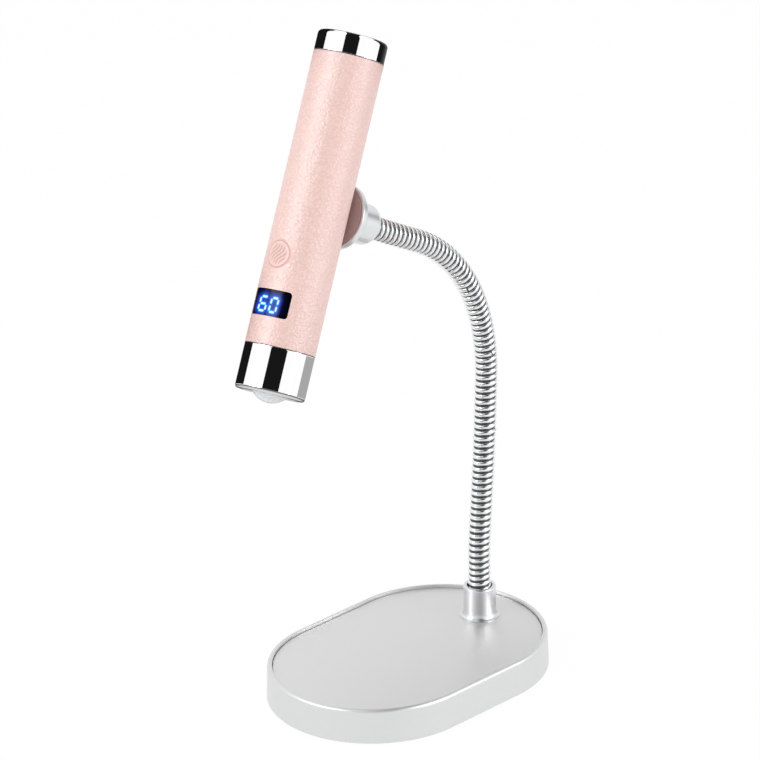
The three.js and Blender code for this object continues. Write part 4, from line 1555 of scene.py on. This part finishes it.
    def build_button(self) -> None:
        """Shape the touch pad: a curved disc with its design pressed in, on its flange."""
        bm = bmesh.new()
        depth = bm.verts.layers.float.new("pressed_shade")
        outline = bmesh.ops.create_circle(
            bm, cap_ends=False, segments=self.pad_spokes, radius=self.button_radius
        )
        edges = list({e for v in outline["verts"] for e in v.link_edges})
        rim = list(edges)
        for left in range(self.pad_rings, 1, -1):
            verts, edges = grow(bm, edges)
            share = (left - 1) / left
            bmesh.ops.scale(bm, vec=(share, share, 1), verts=verts)
        bmesh.ops.contextual_create(bm, geom=edges)
        for vert in bm.verts:
            across, up, _ = vert.co
            height = self.design.height(across, up)
            vert.co = (math.sqrt(self.radius**2 - across**2) + height, across, up)
            # Store each point's depth as the share of painted shade its colour gets
            vert[depth] = min(1.0, -height / self.design.full_shade_depth)
        low, edges = grow(bm, rim)
        for vert in low:
            vert.co.x = self.pad_foot
        bmesh.ops.contextual_create(bm, geom=edges)
        bmesh.ops.translate(bm, vec=(0, 0, self.button_z), verts=bm.verts)
        flange = self.front_rod(self.pad_flange, self.pad_flange_low, self.pad_foot, self.button_z)
        dressing = Dressing("touch_pad", PRESSED_LEATHER, "button", ("power_button",), sharp_deg=50.0)
        self.ride(joined([bm, flange]), dressing)

    def build_tail(self) -> None:
        """Turn the mirror tail cap and cut the charging slot through its end."""
        foot, end = self.sleeve_top + self.seam, self.tail_end
        inner, outer = self.spigot
        corners = [
            (inner, foot - self.spigot_depth, 0.0),
            (outer, foot - self.spigot_depth, 0.0),
            (outer, foot, 0.0),
            (self.chrome, foot, self.chrome_corner),
            (self.chrome, foot + self.chrome_support, 0.0),
            (self.chrome, end - self.tail_support, 0.0),
            (self.chrome, end, self.tail_edge),
            (0.0, end, 0.0),
            (0.0, end - self.tail_wall, 0.0),
            (inner, end - self.tail_wall, 0.0),
        ]
        dressing = Dressing("mirror_tail_cap", MIRROR_CHROME, "lamp", ("tail_cap",), sharp_deg=30.0)
        thing = to_object(lathe(rounded(corners, FINE), self.spokes), dressing.name, self.frame)
        carve(thing, [to_object(self.port.slot_way(end), "slot_way", self.frame)])
        dress(thing, dressing)

    def build_seam_shade_rings(self) -> None:
        """Lay thin black rings in the joints between the leather and the chrome: painted shade for the
        shadow in the seams.
        """
        rings = []
        for middle in (self.sleeve_top, self.sleeve_top - self.sleeve_length):
            low, high = middle - self.seam + self.seam_ring_gap, middle + self.seam - self.seam_ring_gap
            profile = [(self.seam_ring, low), (self.chrome, low), (self.chrome, high), (self.seam_ring, high)]
            rings.append(lathe(profile, self.spokes))
        self.ride(joined(rings), Dressing("seam_shade_rings", BLACK_ABS, "lamp"))

    def build_head(self) -> None:
        """Turn the mirror head ring, its satin bezel and the frosted dome."""
        top, end = self.sleeve_top - self.sleeve_length - self.seam, self.head_end
        inner, outer = self.spigot
        ring = [
            (inner, top + self.spigot_depth, 0.0),
            (outer, top + self.spigot_depth, 0.0),
            (outer, top, 0.0),
            (self.chrome, top, self.chrome_corner),
            (self.chrome, top - self.chrome_support, 0.0),
            (self.chrome, end + self.head_support, 0.0),
            (self.chrome, end, self.head_edge),
            (self.head_mouth, end, self.head_mouth_edge),
            (self.head_mouth, end + self.head_lip, 0.0),
            (self.head_bore, end + self.head_lip, 0.0),
            (self.head_bore, top - self.head_floor, 0.0),
            (inner, top - self.head_floor, 0.0),
        ]
        dressing = Dressing("mirror_head_ring", MIRROR_CHROME, "lamp", ("head_ring",), sharp_deg=30.0)
        self.ride(lathe(rounded(ring, FINE), self.spokes), dressing)
        low = end + self.bezel_rise
        inner, outer = self.bezel
        slope, slope_edge = self.bezel_slope
        bezel = [
            (inner, low + self.bezel_thickness, 0.0),
            (inner, low + slope, slope_edge),
            (self.head_mouth, low, self.bezel_edge),
            (outer, low, 0.0),
            (outer, low + self.bezel_thickness, 0.0),
        ]
        dressing = Dressing("satin_bezel", SATIN_CHROME, "lamp", ("lens_bezel",))
        self.ride(lathe(rounded(bezel), self.lens_spokes), dressing)
        self.build_dome(end - self.lens_proud, low + self.lens_flange_rise)

    def build_dome(self, tip: float, flange_low: float) -> None:
        """Turn the frosted dome, from its tip to the flange that holds it.

        Args:
            tip: the height of its lowest point.
            flange_low: the height of the flange's lower face.
        """
        ball = (self.lens**2 + self.lens_cap**2) / (2 * self.lens_cap)
        half = math.asin(self.lens / ball)
        angles = [half * k / self.lens_steps for k in range(self.lens_steps + 1)]
        flange_top = flange_low + self.lens_flange_thickness
        profile = [
            *((ball * math.sin(angle), tip + ball * (1 - math.cos(angle))) for angle in angles),
            (self.lens, flange_low),
            (self.lens_flange, flange_low),
            (self.lens_flange, flange_top),
            (0.0, flange_top),
        ]
        dressing = Dressing("frosted_dome", FROSTED_ACRYLIC, "lamp", ("lens_dome",), sharp_deg=40.0)
        self.ride(lathe(profile, self.lens_spokes), dressing)

    def build(self) -> None:
        """Build every visible piece of the lamp."""
        self.build_sleeve()
        self.build_display()
        self.build_button()
        self.build_tail()
        self.build_seam_shade_rings()
        self.port.build(self.tail_end, self.frame)
        self.build_head()


# Carried-over CAD nodes


@dataclass(frozen=True)
class InnerPieces:
    """The pieces that keep their CAD shape, with their finishes."""

    finishes: tuple[tuple[Finish, tuple[str, ...]], ...] = (
        (CAST_IRON, ("base_weight",)),
        (BLACK_ABS, ("base_bottom_cover", "display_module", "tact_switch")),
        (
            ZINC_STEEL,
            (
                "cover_screw_1", "cover_screw_2", "cover_screw_3", "cover_screw_4",
                "socket_washer", "socket_nut", "neck_end_ferrule", "cup_screw",
            ),
        ),
        (NICKEL, ("magnet_disc",)),
        (BARREL_STEEL, ("barrel_tube",)),
        (SOLDER_MASK, ("charge_board", "main_board")),
        (WHITE_ABS, ("inner_chassis", "led_board")),
        (SHRINK_FILM, ("battery_cell",)),
        (SINK_ALUMINIUM, ("heat_sink",)),
        (LED_CERAMIC, ("uv_led",)),
        (MIRROR_CHROME, ("reflector",)),
    )

    def dress(self, nodes: dict[str, bpy.types.Object]) -> None:
        """Give each node its material.

        Args:
            nodes: the frame's CAD nodes by name.
        """
        for finish, names in self.finishes:
            for name in names:
                slots = nodes[name].data.materials
                slots.clear()
                slots.append(finish.material())
                LOG.info("%s keeps its CAD shape, %s", name, finish.name)


# Studio


@dataclass
class Studio:
    """A pale floor, a white surround, soft lamps and toned cards that only reflections see."""

    camera_place: Point3 = (-1.0303, -1.0405, 0.7499)
    right: Point3 = (0.7078, -0.7062, -0.0201)
    up: Point3 = (0.2969, 0.2714, 0.9155)
    forward: Point3 = (0.6411, 0.6539, -0.4018)
    lens_mm: float = 236.84
    sensor_mm: float = 36.0
    clip_end: float = 30.0
    world_light: float = 0.6
    floor_white: float = 0.96
    floor_paper: float = 0.95
    floor_radius: float = 3.0
    floor_drop: float = 0.0002

    # The soft lamps: name, place, size and power; all aim at the object's lower middle
    lamps: tuple[tuple[str, Point3, float, float], ...] = (
        ("left_soft_box", (-1.3, 0.35, 0.9), 1.1, 10.6),
        ("right_soft_box", (0.6, -1.4, 0.6), 1.0, 8.6),
        ("top_soft_box", (-0.2, -0.2, 1.8), 1.3, 5.6),
    )
    lamp_aim: Point3 = (0.0, 0.0, 0.1)

    # The cards stand in the lamp's upright frame, in metres: X towards the camera, Z to the tail cap
    card_place: Matrix = field(default_factory=Matrix)
    black: float = 0.0085
    # Rows of the front card: towards the camera, up, left edge, right edge
    front_rows: tuple[Sizes4, ...] = (
        (0.9, -0.6, -0.459, 0.439),
        (0.9, -0.08, -0.459, 0.439),
        (0.9, -0.04, -0.459, 0.439),
        (0.9, 0.04, -0.459, 0.439),
        (0.9, 0.075, -0.4, 0.36),
        (0.9, 0.4, -0.42, 0.375),
        (0.9, 0.85, -0.47, 0.36),
        (0.55, 0.87, -0.31, 0.24),
        (0.1, 0.87, -0.23, 0.16),
        (-0.5, 0.87, -0.11, 0.08),
    )
    # Below this height the front card is grey
    front_grey_from: float = -0.06
    front_grey: float = 0.6
    # The round walls beside the chrome ends: radius, and heights at the tail and the head
    wall_radius: float = 0.05
    tail_wall: Point2 = (0.0495, 0.12)
    head_wall: Point2 = (-0.0575, -0.02)
    head_right_top: float = -0.0425
    head_right_grey: float = 0.39
    # The tail's right wall grows lighter from an angle on, over a span
    fade_from_deg: float = 109.0
    fade_span_deg: float = 49.0
    fade_tone: float = 0.17
    fade_power: float = 1.5
    # The tray under the head: its steps down, each a height and a tone
    tray: tuple[Point2, ...] = ((-0.0587, 0.1), (-0.07, 0.2), (-0.085, 0.6), (-0.125, 0.68))
    # The card beside the cup, in the row frame: its middle, its way up, half its width, and its rows
    aside_middle: Point3 = (0.219, -0.084, 0.205)
    aside_rise: Point3 = (0.336, 0.731, 0.597)
    aside_run: Point3 = (0.03, 0.03, -0.045)
    aside_rows: tuple[Point2, ...] = ((-0.08, 0.95), (-0.03, 0.6), (0.0, 0.15), (0.03, 0.6), (0.08, 0.95))

    def build_camera(self) -> None:
        """Place the camera at the photograph's angle."""
        data = bpy.data.cameras.new("photo_camera")
        data.lens, data.sensor_width, data.clip_end = self.lens_mm, self.sensor_mm, self.clip_end
        camera = add_object("photo_camera", data)
        axes = Matrix((self.right, self.up, [-x for x in self.forward])).transposed()
        camera.matrix_world = Matrix.Translation(self.camera_place) @ axes.to_4x4()
        bpy.context.scene.camera = camera

    def seen_directly(self, tree: bpy.types.NodeTree) -> bpy.types.NodeSocket:
        """Tell the rays that see the studio from those that light the object.

        Args:
            tree: the node tree that asks.

        Returns:
            A socket with 1 for camera, glossy and transmission rays, and 0 for all others.
        """
        rays = add_node(tree, "LightPath").outputs
        seen = rays["Is Camera Ray"]
        for ray in ("Is Glossy Ray", "Is Transmission Ray"):
            seen = add_node(tree, "Math", {"operation": "MAXIMUM"}, {0: seen, 1: rays[ray]}).outputs[0]
        return seen

    def build_world(self) -> None:
        """Surround the scene with white, at a plain level on the object."""
        world = bpy.data.worlds.new("white_surround")
        bpy.context.scene.world = world
        world.use_nodes = True
        tree = world.node_tree
        back = tree.nodes["Background"]
        back.inputs["Color"].default_value = (1.0, 1.0, 1.0, 1.0)
        levels = {"To Min": self.world_light, "To Max": 1.0}
        level = add_node(tree, "MapRange", levels, {"Value": self.seen_directly(tree)})
        tree.links.new(level.outputs[0], back.inputs["Strength"])

    def build_floor(self) -> None:
        """Lay a pale floor that keeps the object's shadow."""
        bm = bmesh.new()
        bmesh.ops.create_circle(bm, cap_ends=True, segments=96, radius=self.floor_radius)
        bmesh.ops.translate(bm, vec=(0, 0, -self.floor_drop), verts=bm.verts)
        mesh = bpy.data.meshes.new("pale_floor")
        bm.to_mesh(mesh)
        bm.free()
        floor = add_object("pale_floor", mesh)
        material, tree, surface = studio_material("pale_floor_paper")
        paper = add_node(tree, "BsdfDiffuse", {"Color": (*(self.floor_paper,) * 3, 1.0)})
        white = add_node(tree, "Emission", {"Strength": 1.0})
        whiten = {"operation": "MULTIPLY", 1: self.floor_white}
        share = add_node(tree, "Math", whiten, {0: self.seen_directly(tree)})
        layers = {0: share.outputs[0], 1: paper.outputs[0], 2: white.outputs[0]}
        tree.links.new(add_node(tree, "MixShader", {}, layers).outputs[0], surface)
        mesh.materials.append(material)

    def build_lamps(self) -> None:
        """Hang the soft lamps: a large one to the left, a weaker one to the right, one overhead."""
        for name, place, size, power in self.lamps:
            data = bpy.data.lights.new(name, "AREA")
            data.shape, data.size, data.energy = "DISK", size, power
            lamp = add_object(name, data)
            lamp.location = place
            aim = Vector(self.lamp_aim) - Vector(place)
            lamp.rotation_euler = aim.to_track_quat("-Z", "Y").to_euler()

    def card_paper(self) -> bpy.types.Material:
        """Find the cards' material, or build it the first time: each point shines with its tone.

        Returns:
            The material.
        """
        found = bpy.data.materials.get("toned_card")
        if found:
            return found
        material, tree, surface = studio_material("toned_card")
        tone = add_node(tree, "Attribute", {"attribute_name": "tone"})
        lit = add_node(tree, "Emission", {}, {"Strength": tone.outputs["Fac"]})
        tree.links.new(lit.outputs[0], surface)
        return material

    def add_card(self, bm: bmesh.types.BMesh, name: str, shade: Callable[[Vector], float]) -> None:
        """Stand a card in the studio, which only reflections see.

        Args:
            bm: the card, in metres in the lamp's upright frame.
            name: its name.
            shade: how light the card is at a point of that frame, from 0 to 1.
        """
        mesh = bpy.data.meshes.new(name)
        bm.to_mesh(mesh)
        bm.free()
        tone = mesh.attributes.new("tone", "FLOAT", "POINT")
        for vert, slot in zip(mesh.vertices, tone.data):
            slot.value = shade(vert.co)
        mesh.transform(self.card_place)
        mesh.materials.append(self.card_paper())
        card = add_object(name, mesh)
        card.visible_camera = False
        card.visible_diffuse = False
        card.visible_shadow = False
        card.visible_transmission = False

    @staticmethod
    def strip(pairs: Iterable[tuple[Vector, Vector]]) -> bmesh.types.BMesh:
        """Lay a bent strip.

        Args:
            pairs: the points of its left and right edge, row by row.

        Returns:
            The strip.
        """
        bm = bmesh.new()
        edge = None
        for pair in pairs:
            ends = [bm.verts.new(point) for point in pair]
            if edge:
                bm.faces.new((*edge, *ends[::-1]))
            edge = ends
        return bm

    def wall(self, low: float, high: float, start_deg: float, end_deg: float) -> bmesh.types.BMesh:
        """Raise a part of a round wall about the lamp's axis.

        Args:
            low: its lower edge.
            high: its upper edge.
            start_deg: where it begins; angles count from the camera's side to its right.
            end_deg: where it ends.

        Returns:
            The wall.
        """
        bm = bmesh.new()
        start = math.radians(start_deg)
        x, y = self.wall_radius * math.cos(start), self.wall_radius * math.sin(start)
        ends = [bm.verts.new((x, y, z)) for z in (low, high)]
        edge = bm.edges.new(ends)
        bmesh.ops.spin(
            bm, geom=ends + [edge], cent=(0, 0, 0), axis=(0, 0, 1),
            angle=math.radians(end_deg - start_deg), steps=48,
        )
        return bm

    def build_front_card(self) -> None:
        """Stand the card towards the camera, bent back over the lamp's top."""
        pairs = (
            (Vector((out, left, up)), Vector((out, right, up)))
            for out, up, left, right in self.front_rows
        )
        self.add_card(
            self.strip(pairs), "front_card",
            lambda p: self.front_grey if p.z < self.front_grey_from else self.black,
        )

    def build_walls(self) -> None:
        """Stand the round walls to the left and right of each chrome end."""

        def fading(point: Vector) -> float:
            """The tone at a point of the tail's right wall, which grows lighter round the lamp.

            Args:
                point: the point, in the lamp's upright frame.

            Returns:
                The tone, from 0 to 1.
            """
            angle = math.degrees(math.atan2(point.y, point.x))
            share = (angle - self.fade_from_deg) / self.fade_span_deg
            return self.black + self.fade_tone * min(max(share, 0.0), 1.0) ** self.fade_power

        head_low, head_top = self.head_wall
        # Name, lower and upper edge, first and last angle, and tone
        walls = (
            ("tail_left_card", (*self.tail_wall, 180, 274), lambda _: self.black),
            ("tail_right_card", (*self.tail_wall, 91, 180), fading),
            ("head_left_card", (head_low, head_top, 180, 270), lambda _: self.black),
            ("head_right_card", (head_low, self.head_right_top, 89, 180), lambda _: self.head_right_grey),
        )
        for name, sizes, shade in walls:
            self.add_card(self.wall(*sizes), name, shade)

    def build_tray(self) -> None:
        """Hang a stepped tray under the head, lighter towards its floor."""
        tones = dict(self.tray)
        steps = list(tones)
        sides = joined(self.wall(low, high, 0, 360) for high, low in zip(steps, steps[1:]))
        floor = bmesh.new()
        bmesh.ops.create_circle(floor, cap_ends=True, segments=48, radius=self.wall_radius)
        bmesh.ops.translate(floor, vec=(0, 0, steps[-1]), verts=floor.verts)
        self.add_card(
            joined((sides, floor)), "under_head_tray",
            lambda p: tones[min(tones, key=lambda z: abs(z - p.z))],
        )

    def build_aside_card(self) -> None:
        """Stand a graded card beside the cup, dark along its middle."""
        back = self.card_place.inverted()
        middle, rise, run = (Vector(v) for v in (self.aside_middle, self.aside_rise, self.aside_run))
        card = self.strip(
            tuple(back @ (middle + rise * share + run * way) for way in (-1, 1))
            for share, _ in self.aside_rows
        )
        tones = [tone for _, tone in self.aside_rows for _ in range(2)]
        tone_at = {tuple(vert.co): tone for vert, tone in zip(card.verts, tones)}
        self.add_card(card, "beside_cup_card", lambda p: tone_at[tuple(p)])

    def build_cards(self, lamp: PenLamp) -> None:
        """Stand all the cards in the lamp's upright frame.

        Args:
            lamp: the pen lamp, whose frame they follow.
        """
        toward = -Vector(self.forward)
        axis = (lamp.frame.to_3x3() @ Vector((0, 0, 1))).normalized()
        side = axis.cross(toward).normalized()
        front = side.cross(axis).normalized()
        turned = Matrix((front, side, axis)).transposed().to_4x4()
        self.card_place = Matrix.Translation(lamp.frame.translation * MM) @ turned
        self.build_front_card()
        self.build_walls()
        self.build_tray()
        self.build_aside_card()

    def build(self, lamp: PenLamp) -> None:
        """Build the whole studio.

        Args:
            lamp: the pen lamp, which the cards stand round.
        """
        self.build_camera()
        self.build_world()
        self.build_floor()
        self.build_lamps()
        self.build_cards(lamp)


def main() -> None:
    """Load the frame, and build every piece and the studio."""
    logging.basicConfig(level=logging.INFO, format="%(name)s: %(message)s")
    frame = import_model()
    DeskStand().build()
    Gooseneck().build()
    MagnetCup().build()
    lamp = PenLamp()
    lamp.build()
    InnerPieces().dress(frame["nodes"])
    Studio().build(lamp)
    bpy.context.scene.view_settings.view_transform = "Standard"


if __name__ == "__main__":
    main()
